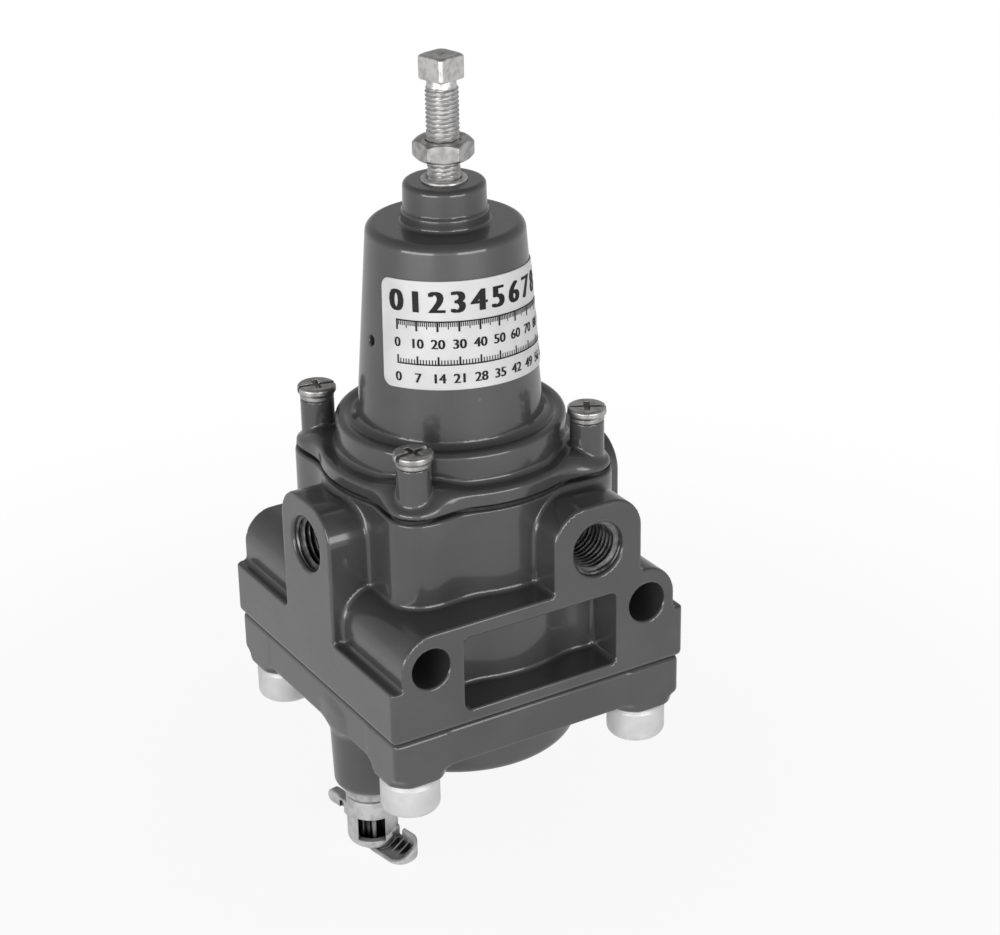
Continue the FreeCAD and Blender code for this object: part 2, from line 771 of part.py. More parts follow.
def make_diaphragm():
    """Fabric rubber diaphragm, clamped between body and bonnet, with one convolution."""
    piece = Piece("diaphragm")
    bottom = "body_height"
    piece.post("0", "0", bottom, "barrel_radius", "diaphragm_thickness")
    add_ears(piece, bottom, "diaphragm_thickness")
    piece.fillet("ear_fillet", is_ear_valley)
    half_roll = "(convolution_height)"
    piece.post("0", "0", bottom, f"convolution_radius + {half_roll} - diaphragm_thickness",
               "diaphragm_thickness", take=True)
    roll = piece.solid("AdditiveTorus", "XY", ("0", "0", bottom),
                       Radius1="convolution_radius", Radius2=half_roll)
    roll.Angle1 = -180
    roll.Angle2 = 0
    doc.recompute()
    hollow = piece.solid("SubtractiveTorus", "XY", ("0", "0", bottom),
                         Radius1="convolution_radius",
                         Radius2=f"{half_roll} - diaphragm_thickness")
    piece.post("0", "0", bottom, f"convolution_radius - {half_roll} + diaphragm_thickness",
               "diaphragm_thickness")
    piece.post("0", "0", bottom, "relief_stud_radius", "diaphragm_thickness", take=True)
    four_posts(piece, "ear_offset", bottom, "bonnet_screw_radius + screw_hole_clearance",
               "diaphragm_thickness", take=True)
    return piece.body


def make_upper_plate():
    """Pressed plate on the diaphragm that centres the range spring."""
    piece = Piece("diaphragm_plate_upper")
    rim = "(range_spring_radius - range_spring_wire / 2 - 0.6)"
    piece.turned([
        ("relief_stud_radius", BONNET_BASE),
        ("upper_plate_radius", BONNET_BASE),
        ("upper_plate_radius", UPPER_PLATE_TOP),
        (rim, UPPER_PLATE_TOP),
        (rim, f"{UPPER_PLATE_TOP} + upper_plate_rim_height"),
        (f"{rim} - 1.2", f"{UPPER_PLATE_TOP} + upper_plate_rim_height"),
        (f"{rim} - 1.2", UPPER_PLATE_TOP),
        ("relief_stud_radius", UPPER_PLATE_TOP),
    ])
    return piece.body


def make_lower_plate():
    """Flat plate under the diaphragm."""
    piece = Piece("diaphragm_plate_lower")
    piece.turned([
        ("relief_stud_radius", "body_height - lower_plate_thickness"),
        ("lower_plate_radius", "body_height - lower_plate_thickness"),
        ("lower_plate_radius", "body_height"),
        ("relief_stud_radius", "body_height"),
    ])
    return piece.body


def make_relief_stud():
    """Hollow brass stud that clamps the plates and carries the relief seat."""
    piece = Piece("relief_seat_stud")
    under_plate = "(body_height - lower_plate_thickness)"
    top = f"({UPPER_PLATE_TOP} + diaphragm_nut_height + 0.8)"
    piece.turned([
        ("relief_seat_radius", RELIEF_BOTTOM),
        ("relief_flange_radius", RELIEF_BOTTOM),
        ("relief_flange_radius", under_plate),
        ("relief_stud_radius", under_plate),
        ("relief_stud_radius", top),
        ("relief_bore_radius", top),
        ("relief_bore_radius", f"{RELIEF_BOTTOM} + relief_seat_depth"),
        ("relief_seat_radius", f"{RELIEF_BOTTOM} + relief_seat_depth"),
    ])
    return piece.body


def make_seat():
    """Brass supply-valve seat in the body's web."""
    piece = Piece("valve_seat")
    piece.turned([
        ("orifice_radius", SEAT_LIP),
        ("seat_lip_radius", SEAT_LIP),
        ("seat_lip_radius + 0.4", "valve_chamber_top - seat_flange_thickness"),
        ("seat_flange_radius", "valve_chamber_top - seat_flange_thickness"),
        ("seat_flange_radius", "valve_chamber_top"),
        ("seat_bore_radius", "valve_chamber_top"),
        ("seat_bore_radius", "web_top"),
        ("orifice_radius", "web_top"),
    ])
    return piece.body


def make_valve():
    """Supply valve: stem up to the relief seat, plug, and a tail in the guide."""
    piece = Piece("supply_valve")
    plug_top = f"({SEAT_LIP} - valve_disc_thickness)"
    piece.turned([
        ("0", f"{PLUG_BOTTOM} - valve_tail_length"),
        ("valve_tail_radius", f"{PLUG_BOTTOM} - valve_tail_length"),
        ("valve_tail_radius", PLUG_BOTTOM),
        ("valve_plug_radius", PLUG_BOTTOM),
        ("valve_plug_radius", plug_top),
        ("valve_stem_radius", plug_top),
        ("valve_stem_radius", f"{RELIEF_BOTTOM} - 0.6"),
        ("relief_seat_radius - 0.3", RELIEF_BOTTOM),
        ("0", RELIEF_BOTTOM),
    ])
    return piece.body


def make_disc():
    """Rubber disc on the plug that closes on the seat's lip."""
    piece = Piece("valve_disc")
    piece.turned([
        ("valve_stem_radius", f"{SEAT_LIP} - valve_disc_thickness"),
        ("valve_disc_radius", f"{SEAT_LIP} - valve_disc_thickness"),
        ("valve_disc_radius", SEAT_LIP),
        ("valve_stem_radius", SEAT_LIP),
    ])
    return piece.body


def make_guide():
    """Brass valve guide; its flange holds the filter and its post the filter's nut."""
    piece = Piece("valve_guide")
    bore = "(valve_tail_radius + thread_clearance)"
    hub = f"({GUIDE_FLANGE_BOTTOM} - guide_hub_height)"
    post_end = f"({RETAINER_BOTTOM} - filter_nut_height - post_overhang)"
    spigot_top = "(filter_chamber_height + guide_spigot_height)"
    piece.turned([
        ("0", post_end),
        ("post_radius", post_end),
        ("post_radius", hub),
        ("guide_hub_radius", hub),
        ("guide_hub_radius", GUIDE_FLANGE_BOTTOM),
        ("guide_flange_radius", GUIDE_FLANGE_BOTTOM),
        ("guide_flange_radius", "filter_chamber_height"),
        ("valve_chamber_radius", "filter_chamber_height"),
        ("valve_chamber_radius", spigot_top),
        ("guide_boss_radius", spigot_top),
        ("guide_boss_radius", GUIDE_BOSS_TOP),
        (bore, GUIDE_BOSS_TOP),
        (bore, f"{GUIDE_BOSS_TOP} - guide_bore_depth"),
        ("0", f"{GUIDE_BOSS_TOP} - guide_bore_depth"),
    ])
    hole = piece.post("guide_hole_circle", "0", GUIDE_FLANGE_BOTTOM, "guide_hole_radius",
                      "guide_flange_thickness + guide_spigot_height", take=True)
    piece.round_pattern([hole], 6)
    return piece.body


def make_ring(name, inner, outer, bottom, height):
    """Plain flat ring."""
    piece = Piece(name)
    piece.turned([
        (inner, bottom),
        (outer, bottom),
        (outer, f"{bottom} + {height}"),
        (inner, f"{bottom} + {height}"),
    ])
    return piece.body


def make_retainer():
    """Pressed dish that holds the filter from below."""
    piece = Piece("filter_retainer")
    piece.turned([
        ("post_radius + screw_hole_clearance", RETAINER_BOTTOM),
        ("retainer_radius", RETAINER_BOTTOM),
        ("retainer_radius + retainer_lip", f"{RETAINER_BOTTOM} - retainer_lip"),
        ("retainer_radius + retainer_lip + retainer_thickness",
         f"{RETAINER_BOTTOM} - retainer_lip"),
        ("retainer_radius + retainer_thickness", RETAINER_TOP),
        ("post_radius + screw_hole_clearance", RETAINER_TOP),
    ])
    return piece.body


def make_tube():
    """Aspirator tube pressed into the outlet passage."""
    piece = Piece("aspirator_tube", shifted("outlet_passage_offset", "0", "0"))
    piece.turned([
        ("passage_radius - 0.8", "port_height + 1"),
        ("passage_radius", "port_height + 1"),
        ("passage_radius", "web_top + 1.6"),
        ("passage_radius - 0.8", "web_top + 1.6"),
    ])
    return piece.body


def make_cover():
    """Die-cast bottom cover: plate, corner lobes, round bowl and drain boss."""
    piece = Piece("bottom_cover")
    width = "(body_width - 2 * cover_inset)"
    half = value("body_width") / 2 - value("cover_inset")
    thick = value("cover_thickness")
    piece.block("0", "0", f"-{LOBE_BOTTOM}", width, width, LOBE_BOTTOM)
    piece.fillet("cover_corner_radius", is_upright)
    for turn in ("0", "90"):
        long_side = "(body_width + 10)"
        short_side = "(2 * (cover_screw_offset - lobe_radius))"
        sizes = (short_side, long_side) if turn == "0" else (long_side, short_side)
        piece.block("0", "0", f"-{LOBE_BOTTOM}", sizes[0], sizes[1], "lobe_depth", take=True)
    inner = value("cover_screw_offset") - value("lobe_radius")
    piece.fillet("lobe_radius * 0.9", lambda edge: is_upright(edge)
                 and abs(abs(middle(edge).x) - inner) < 0.01
                 and abs(abs(middle(edge).y) - inner) < 0.01)
    piece.fillet("lobe_fillet", lambda edge: is_level(edge, -thick)
                 and reach(middle(edge)) > inner
                 and max(abs(middle(edge).x), abs(middle(edge).y)) < half - 0.5)
    piece.post("0", "0", "-bowl_depth", "bowl_radius", "bowl_depth")
    bowl = value("bowl_depth")
    piece.fillet("bowl_edge_fillet",
                 lambda edge: ring_at(edge, value("bowl_radius"), -bowl))
    piece.solid("AdditiveCone", "XY", ("drain_x", "drain_y", "-drain_boss_depth"),
                Radius1="drain_boss_bottom_radius", Radius2="drain_boss_top_radius",
                Height="drain_boss_depth - cover_thickness * 0.5")
    piece.post("0", "0", "-(bowl_depth - bowl_wall)", "bowl_radius - bowl_wall",
               "bowl_depth - bowl_wall", take=True)
    piece.post("drain_x", "drain_y", "-drain_boss_depth", "drain_thread_radius",
               "drain_thread_length + 1", take=True)
    four_posts(piece, "cover_screw_offset", f"-{LOBE_BOTTOM}",
               "cap_screw_radius + screw_hole_clearance", LOBE_BOTTOM, take=True)
    piece.turned([
        ("seal_radius - seal_section_radius", "-2 * seal_section_radius"),
        ("seal_radius + seal_section_radius", "-2 * seal_section_radius"),
        ("seal_radius + seal_section_radius", "0"),
        ("seal_radius - seal_section_radius", "0"),
    ], take=True)
    return piece.body


def make_seal():
    """Round-section rubber seal between cover and body."""
    piece = Piece("cover_seal")
    piece.solid("AdditiveTorus", "XY", ("0", "0", "-seal_section_radius"),
                Radius1="seal_radius", Radius2="seal_section_radius")
    return piece.body


def four_of(name, source):
    """One group of four alike solids, mirrored about the two middle planes."""
    across = doc.addObject("Part::Mirroring", name + "_across")
    across.Source = source
    across.Normal = FreeCAD.Vector(1, 0, 0)
    pair = doc.addObject("Part::Compound", name + "_pair")
    pair.Links = [source, across]
    back = doc.addObject("Part::Mirroring", name + "_back")
    back.Source = pair
    back.Normal = FreeCAD.Vector(0, 1, 0)
    back.setExpression("Base.y", formula("-body_width / 2"))
    group = doc.addObject("Part::Compound", name)
    group.Links = [pair, back]
    group.Label = name
    doc.recompute()
    return group


def make_cover_screws():
    """Four socket-head cap screws that hold the cover, heads down."""
    one = Piece("cover_screw_one",
                shifted("cover_screw_offset", "cover_screw_offset", "0"))
    head_top = f"-{LOBE_BOTTOM}"
    head_bottom = f"(-{LOBE_BOTTOM} - cap_head_height)"
    one.post("0", "0", head_bottom, "cap_head_radius", "cap_head_height")
    low = number(head_bottom)
    one.fillet("cap_head_fillet", lambda edge: ring_at(edge, value("cap_head_radius"), low))
    one.post("0", "0", head_top, "cap_screw_radius", f"{LOBE_BOTTOM} + cap_screw_reach")
    one.hexagon("cap_socket_flats", head_bottom, "cap_socket_depth", take=True)
    return four_of("cover_screws", one.body)


def make_bonnet_screws():
    """Four pan-head screws with captive washers and crossed slots."""
    one = Piece("bonnet_screw_one", shifted("ear_offset", "ear_offset", "0"))
    seat = f"({FLANGE_TOP} + screw_boss_height)"
    washer_top = f"({seat} + bonnet_screw_washer_height)"
    head_top = f"({washer_top} + bonnet_screw_head_height)"
    one.turned([
        ("0", "body_height - bonnet_screw_reach"),
        ("bonnet_screw_radius", "body_height - bonnet_screw_reach"),
        ("bonnet_screw_radius", seat),
        ("bonnet_screw_washer_radius", seat),
        ("bonnet_screw_washer_radius", washer_top),
        ("bonnet_screw_head_radius", washer_top),
        ("bonnet_screw_head_radius", f"{head_top} - 0.9"),
        ("bonnet_screw_head_radius - 0.9", head_top),
        ("0", head_top),
    ])
    slot_floor = f"({head_top} - bonnet_screw_slot_depth)"
    one.block("0", "0", slot_floor, "2 * bonnet_screw_head_radius",
              "bonnet_screw_slot_width", "bonnet_screw_slot_depth", take=True)
    one.block("0", "0", slot_floor, "bonnet_screw_slot_width",
              "1.2 * bonnet_screw_head_radius", "bonnet_screw_slot_depth", take=True)
    return four_of("bonnet_screws", one.body)


DRAIN_AXIS = shifted("drain_x", "drain_y", "-drain_boss_depth")
SPIGOT_END = "(-drain_collar_height - drain_spigot_length)"
SEAL_BOTTOM = f"({SPIGOT_END} - drain_seal_thickness)"


def make_drain_body():
    """Drain nipple: pipe thread above, collar, and a threaded spigot for the winged cap."""
    piece = Piece("drain_body", DRAIN_AXIS)
    piece.turned([
        ("drain_bore_radius", SPIGOT_END),
        ("drain_spigot_radius", SPIGOT_END),
        ("drain_spigot_radius", "-drain_collar_height"),
        ("drain_collar_radius - 0.5", "-drain_collar_height"),
        ("drain_collar_radius", "-drain_collar_height + 0.5"),
        ("drain_collar_radius", "0"),
        ("drain_thread_radius", "0"),
        ("drain_thread_radius", "drain_thread_length"),
        ("drain_bore_radius", "drain_thread_length"),
    ])
    return piece.body


def make_drain_seal():
    """Rubber washer that closes the end of the spigot."""
    piece = Piece("drain_seal", DRAIN_AXIS)
    piece.post("0", "0", SEAL_BOTTOM, "drain_seal_radius", "drain_seal_thickness")
    return piece.body


def make_drain_cap():
    """Winged cap on the spigot, with two windows that let the water out."""
    piece = Piece("drain_cap", DRAIN_AXIS, "drain_wing_angle")
    top = "(-drain_collar_height - drain_gap)"
    bottom = f"({SEAL_BOTTOM} - drain_cap_floor)"
    piece.turned([
        ("0", bottom),
        ("drain_cap_radius - 1", bottom),
        ("drain_cap_radius", f"{bottom} + 1"),
        ("drain_cap_radius", top),
        ("0", top),
    ])
    wing = "(drain_wing_level + drain_wing_height)"
    piece.block("0", "0", f"-{wing}", "2 * drain_wing_reach", "drain_wing_thickness",
                "drain_wing_height")
    for side in (-1, 1):
        centre = f"{side} * (drain_wing_reach - drain_wing_tip_thickness / 2)"
        piece.block(centre, "0", f"-{wing} - 0.8", "drain_wing_tip_thickness",
                    "drain_wing_tip_width", "drain_wing_height + 0.8")
    reach_tip = value("drain_wing_reach")
    piece.fillet("drain_wing_tip_thickness * 0.3", lambda edge: is_upright(edge)
                 and abs(middle(edge).x) > reach_tip - 0.01)
    piece.post("0", "0", SEAL_BOTTOM, "drain_spigot_radius + thread_clearance",
               f"{top} - {SEAL_BOTTOM}", take=True)
    window = piece.solid("SubtractiveBox", "XY",
                         ("drain_window_width / 2 * sin(drain_window_angle)",
                          "-drain_window_width / 2 * cos(drain_window_angle)",
                          f"{bottom} + drain_window_sill"),
                         angle="drain_window_angle", Length="1.3 * drain_cap_radius",
                         Width="drain_window_width", Height="drain_window_height")
    piece.round_pattern([window], 2)
    return piece.body


def make_all():
    """Every sub-part, in the order in which it is put together."""
    running = "(screw_radius + thread_clearance)"
    return [
        make_body(),
        make_seat(),
        make_tube(),
        make_disc(),
        make_valve(),
        make_spring("valve_spring", "valve_spring_radius", "valve_spring_wire",
                    "valve_spring_turns", "(filter_chamber_height + guide_spigot_height)",
                    PLUG_BOTTOM),
        make_guide(),
        make_ring("filter_gasket_upper", "filter_inner_radius", "filter_gasket_radius",
                  FILTER_TOP, "filter_gasket_thickness"),
        make_ring("filter_element", "filter_inner_radius", "filter_outer_radius",
                  FILTER_BOTTOM, "filter_length"),
        make_ring("filter_gasket_lower", "filter_inner_radius", "filter_gasket_radius",
                  RETAINER_TOP, "filter_gasket_thickness"),
        make_retainer(),
        make_nut("filter_nut", "filter_nut_flats",
                 f"({RETAINER_BOTTOM} - filter_nut_height)", "filter_nut_height",
                 "post_radius"),
        make_seal(),
        make_cover(),
        make_cover_screws(),
        make_drain_body(),
        make_drain_seal(),
        make_drain_cap(),
        make_diaphragm(),
        make_lower_plate(),
        make_upper_plate(),
        make_relief_stud(),
        make_nut("diaphragm_nut", "diaphragm_nut_flats", UPPER_PLATE_TOP,
                 "diaphragm_nut_height", "relief_stud_radius"),
        make_spring("range_spring", "range_spring_radius", "range_spring_wire",
                    "range_spring_turns", UPPER_PLATE_TOP, UPPER_SEAT_BOTTOM),
        make_upper_seat(),
        make_bonnet(),
        make_bonnet_screws(),
        make_bushing(),
        make_nut("lock_nut", "lock_nut_flats", "lock_nut_bottom", "lock_nut_height", running),
        make_adjusting_screw(),
        make_label(),
    ]


def check(pieces):
    """Stop if any object failed or any sub-part has no valid solid."""
    for thing in doc.Objects:
        if "Invalid" in thing.State or "Error" in thing.State:
            raise RuntimeError(f"{thing.Name} ({thing.Label}) failed: {thing.State}")
    for piece in pieces:
        shape = piece.Shape
        if shape.isNull() or not shape.isValid() or not shape.Solids:
            raise RuntimeError(f"{piece.Label} has no valid solid")
        print(f"{piece.Label}: {len(shape.Solids)} solid(s), {shape.Volume:.1f} mm3")


pieces = make_all()
doc.recompute()
check(pieces)
os.makedirs("parts", exist_ok=True)
for piece in pieces:
    piece.Shape.exportStep(f"parts/{piece.Label}.step")
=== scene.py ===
import math
import bmesh
import bpy
import numpy as np
from mathutils import Matrix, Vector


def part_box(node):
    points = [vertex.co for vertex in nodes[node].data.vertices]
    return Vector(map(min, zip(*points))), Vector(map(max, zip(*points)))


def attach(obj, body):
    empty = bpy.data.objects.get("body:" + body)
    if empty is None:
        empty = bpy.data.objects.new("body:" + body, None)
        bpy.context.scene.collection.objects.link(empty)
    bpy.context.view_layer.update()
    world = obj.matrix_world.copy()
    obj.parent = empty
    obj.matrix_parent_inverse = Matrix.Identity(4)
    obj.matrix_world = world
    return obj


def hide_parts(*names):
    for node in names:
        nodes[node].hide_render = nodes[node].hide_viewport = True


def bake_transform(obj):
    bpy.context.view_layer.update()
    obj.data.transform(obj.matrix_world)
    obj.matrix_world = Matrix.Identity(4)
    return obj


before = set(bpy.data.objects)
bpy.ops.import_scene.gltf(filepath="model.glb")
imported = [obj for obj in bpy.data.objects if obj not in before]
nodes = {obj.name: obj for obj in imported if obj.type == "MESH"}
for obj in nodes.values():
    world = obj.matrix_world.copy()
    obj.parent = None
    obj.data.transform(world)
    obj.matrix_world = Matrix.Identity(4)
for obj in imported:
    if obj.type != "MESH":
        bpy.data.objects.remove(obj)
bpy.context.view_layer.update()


# Body. One aluminium die casting: a square foot, a shoulder, a round barrel with four lugs and a pad
# round each pipe port. It is tumbled, so every edge is soft, machined on its joints and in its ports,
# and then enamelled dark grey. Lengths are millimetres from the main axis and from the lower joint.

MAIN_AXIS = np.array((0.0, -41.25, -18.0))
BODY_HALF = 41.25
BODY_TOP = 49.6
FOOT_TOP = 14.0
BARREL_RADIUS = 32.5
LUG_OFFSET = 24.06
PAD_HALF = 12.4
PAD_REACH = 40.0
PAD_MIDDLE = 8.3
PAD_CORNER = 8.7
PORT_HEIGHT = 36.4
PORT_RADIUS = 6.95
PORT_FLOOR = 27.25
GAUGE_SIDE = 16.2
BOLT_OFFSET = 30.4
BOLT_HEIGHT = 18.0
BOLT_RADIUS = 5.1
SHOULDER_HALF = 38.3
RECESS_HALF = 21.4
RECESS_MIDDLE = 13.6
RECESS_FLOOR = 17.25
CHAMBER_RADIUS = 23.2
CHAMBER_TOP = 27.0


def join(a, b, r):
    """Two distances as one body, with a fillet in the corner between them."""
    return np.maximum(r, np.minimum(a, b)) - np.hypot(np.maximum(r - a, 0), np.maximum(r - b, 0))


def cut(a, b, r):
    """The first body without the second, with a rounded rim."""
    return -join(-a, b, r)


def meet(a, b, r):
    """What two bodies share, with a rounded edge."""
    return -join(-a, -b, r)


def band(h, low, high):
    """Distance to a slab."""
    return np.maximum(low - h, h - high)


def oblong(a, b, half_a, half_b, corner):
    """Distance to a rectangle with round corners, in its own plane."""
    da = np.abs(a) - half_a + corner
    db = np.abs(b) - half_b + corner
    return np.hypot(np.maximum(da, 0), np.maximum(db, 0)) + np.minimum(np.maximum(da, db), 0) - corner


def skin(field, low, high, pitch, passes=3):
    """Quads over the zero level of a distance, with the corners dropped onto it."""
    axes = [np.arange(a - 1.5 * pitch, b + 2.5 * pitch, pitch) for a, b in zip(low, high)]
    values = field(*np.meshgrid(*axes, indexing="ij"))
    inside = values < 0
    shifts = [(a, b, c) for a in (0, 1) for b in (0, 1) for c in (0, 1)]
    size = np.array(inside.shape) - 1

    def corner(array, shift):
        return array[tuple(slice(s, s + n) for s, n in zip(shift, size))]

    count = sum(corner(inside, s).astype(np.int8) for s in shifts)
    crossed = (count > 0) & (count < 8)
    index = np.full(crossed.shape, -1)
    index[crossed] = np.arange(crossed.sum())
    cells = np.stack(np.nonzero(crossed), 1)
    total = np.zeros((len(cells), 3))
    number = np.zeros((len(cells), 1))
    for axis in range(3):
        step = np.eye(3, dtype=int)[axis]
        for start in [s for s in shifts if s[axis] == 0]:
            first = values[tuple((cells + start).T)]
            last = values[tuple((cells + start + step).T)]
            mixed = (first < 0) != (last < 0)
            share = np.where(mixed, first / np.where(mixed, first - last, 1), 0)[:, None]
            total += np.where(mixed[:, None], start + share * step, 0)
            number += mixed[:, None]
    points = np.array([a[0] for a in axes]) + (cells + total / number) * pitch
    quads = []
    for axis in range(3):
        b, c = (axis + 1) % 3, (axis + 2) % 3
        near = [slice(None)] * 3
        far = [slice(None)] * 3
        near[axis] = slice(0, -1)
        far[axis] = slice(1, None)
        edge = np.stack(np.nonzero(inside[tuple(near)] != inside[tuple(far)]), 1)
        ring = []
        for back_b, back_c in ((1, 1), (0, 1), (0, 0), (1, 0)):
            cell = edge.copy()
            cell[:, b] -= back_b
            cell[:, c] -= back_c
            ring.append(index[tuple(cell.T)])
        ring = np.stack(ring, 1)
        outward = ~inside[tuple(edge.T)]
        ring[outward] = ring[outward][:, ::-1]
        quads.append(ring)
    quads = np.concatenate(quads)

    def slope(at, h=0.04):
        steps = np.eye(3) * h
        return np.stack([field(*(at + s).T) - field(*(at - s).T) for s in steps], 1) / (2 * h)

    for turn in range(passes):
        if turn:
            total = np.zeros_like(points)
            number = np.zeros(len(points))
            for a, b in ((0, 1), (1, 2), (2, 3), (3, 0)):
                for start, end in ((quads[:, a], quads[:, b]), (quads[:, b], quads[:, a])):
                    number += np.bincount(start, minlength=len(points))
                    for k in range(3):
                        total[:, k] += np.bincount(start, points[end, k], len(points))
            points += 0.5 * (total / number[:, None] - points)
        lean = slope(points)
        steep = np.maximum((lean ** 2).sum(1), 0.05)
        move = -field(*points.T) / steep
        points += np.clip(move * np.sqrt(steep), -pitch, pitch)[:, None] * lean / np.sqrt(steep)[:, None]
    lean = slope(points)
    lean /= np.maximum(np.linalg.norm(lean, axis=1, keepdims=True), 1e-6)
    return points, quads, lean[quads]


def show(name, data):
    """A new object in the scene."""
    thing = bpy.data.objects.new(name, data)
    bpy.context.scene.collection.objects.link(thing)
    return thing


def make_piece(name, parts, finish, body, replaces=()):
    """One object of several skins, in metres in the row frame. It rides on a body, if one is named."""
    points = np.concatenate([p for p, q, n in parts])
    starts = np.cumsum([0] + [len(p) for p, q, n in parts[:-1]])
    quads = np.concatenate([q + s for (p, q, n), s in zip(parts, starts)])
    normals = np.concatenate([n for p, q, n in parts]).reshape(-1, 3)
    mesh = bpy.data.meshes.new(name)
    mesh.vertices.add(len(points))
    mesh.vertices.foreach_set("co", ((points + MAIN_AXIS) * 0.001).ravel())
    mesh.loops.add(quads.size)
    mesh.loops.foreach_set("vertex_index", quads.ravel().astype(np.int32))
    mesh.polygons.add(len(quads))
    mesh.polygons.foreach_set("loop_start", np.arange(0, quads.size, 4, dtype=np.int32))
    mesh.polygons.foreach_set("use_smooth", np.ones(len(quads), bool))
    mesh.update(calc_edges=True)
    mesh.normals_split_custom_set(normals.tolist())
    mesh.materials.append(finish.material)
    thing = show(name, mesh)
    if body:
        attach(thing, body)
    if replaces:
        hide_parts(*replaces)
    return thing


class Signal:
    """A shader socket that Python arithmetic works on."""

    def __init__(self, finish, socket):
        self.finish = finish
        self.socket = socket

    def maths(self, operation, first, second):
        return self.finish.node("ShaderNodeMath", {"operation": operation}, {0: first, 1: second})

    def __add__(self, other):
        return self.maths("ADD", self, other)

    def __radd__(self, other):
        return self.maths("ADD", other, self)

    def __rsub__(self, other):
        return self.maths("SUBTRACT", other, self)

    def __mul__(self, other):
        return self.maths("MULTIPLY", self, other)

    def between(self, low, high):
        """0 below the low value, 1 above the high one, and smooth between."""
        return self.finish.node("ShaderNodeMapRange", {"interpolation_type": "SMOOTHSTEP"},
                                {0: self, 1: low, 2: high})


class Finish:
    """A material whose values over the surface are written as expressions."""

    def __init__(self, name, **constants):
        self.material = bpy.data.materials.new(name)
        self.material.use_nodes = True
        self.tree = self.material.node_tree
        self.shader = self.tree.nodes["Principled BSDF"]
        for words, value in constants.items():
            self.shader.inputs[words.replace("_", " ")].default_value = value
        self.place = self.node("ShaderNodeTexCoord", {}, {}, "Object")
        self.edge = self.node("ShaderNodeNewGeometry", {}, {}, "Pointiness")

    def node(self, kind, settings, inputs, output=0):
        """Add a node: first its settings, then the values or links of its sockets."""
        node = self.tree.nodes.new(kind)
        for name, value in settings.items():
            setattr(node, name, value)
        for name, value in inputs.items():
            if isinstance(value, Signal):
                self.tree.links.new(value.socket, node.inputs[name])
            else:
                node.inputs[name].default_value = value
        return Signal(self, node.outputs[output])

    def feed(self, **signals):
        """Lead values that vary over the surface to the shader."""
        for words, signal in signals.items():
            self.tree.links.new(signal.socket, self.shader.inputs[words.replace("_", " ")])

    def noise(self, size, detail=2.0, stretch=(1, 1, 1)):
        """Noise with grains of about this size in millimetres."""
        place = self.node("ShaderNodeMapping", {}, {"Vector": self.place, "Scale": stretch})
        return self.node("ShaderNodeTexNoise", {}, {"Vector": place, "Scale": 1000 / size,
                                                    "Detail": detail})

    def openness(self, reach, **settings):
        """1 where nothing stands near a point within this many millimetres, and less in a corner; it is
        used to paint shade into hollows.
        """
        return self.node("ShaderNodeAmbientOcclusion", {"samples": 6, **settings},
                         {"Distance": reach * 0.001}, "AO")

    def blend(self, share, first, second):
        """A colour between two colours."""
        return self.node("ShaderNodeMix", {"data_type": "RGBA"}, {0: share, 6: first, 7: second}, 2)

    def bump(self, height, depth, strength=1.0):
        """Relief of a height field, with its depth in millimetres."""
        return self.node("ShaderNodeBump", {}, {"Height": height, "Distance": depth * 0.001,
                                                "Strength": strength}, "Normal")


def tint(level, warm=0.0):
    """A near-grey colour from its level on a screen, 0 to 255."""
    shade = (level / 255) ** 2.2
    return (shade * (1 + warm), shade, shade * (1 - warm), 1)


def enamel(name, level):
    """Dark enamel sprayed on a casting: orange peel, soft waves, and edges lighter for thin paint and as a
    painted highlight.
    """
    finish = Finish(name, IOR=1.5, Coat_Weight=0.9, Coat_Roughness=0.12, Coat_IOR=1.7,
                    Specular_IOR_Level=0.3)
    patches = finish.noise(19, 3)
    peel = finish.noise(1.5, 2)
    dust = finish.noise(0.5, 1)
    # Painted highlight: the sharp edges are lightened, partly for thin paint and partly as painted gloss
    # along them.
    thin_paint_and_edge_highlight = finish.edge.between(0.56, 0.66) * patches.between(0.42, 0.62)
    colour = finish.blend(patches.between(0.3, 0.7), tint(level - 4), tint(level + 5))
    colour = finish.blend(dust.between(0.62, 0.8) * 0.25, colour, tint(level + 22))
    colour = finish.blend(thin_paint_and_edge_highlight * 0.4, colour, tint(level + 50))
    relief = peel * 0.6 + patches * 2.2 + dust * 0.18
    finish.feed(Base_Color=colour, Roughness=0.3 + patches * 0.12 + peel * 0.08 + thin_paint_and_edge_highlight * 0.08,
                Normal=finish.bump(relief, 0.04, 0.4))
    return finish


def barrel_with_lugs(x, y, z, top, lug_top, lug, edge, valley):
    """A barrel up to a height, with the four lugs that take the bonnet screws."""
    barrel = meet(np.hypot(x, y) - BARREL_RADIUS, z - top, edge)
    lugs = meet(np.hypot(np.abs(x) - LUG_OFFSET, np.abs(y) - LUG_OFFSET) - lug, z - lug_top, 0.6)
    return join(barrel, lugs, valley)


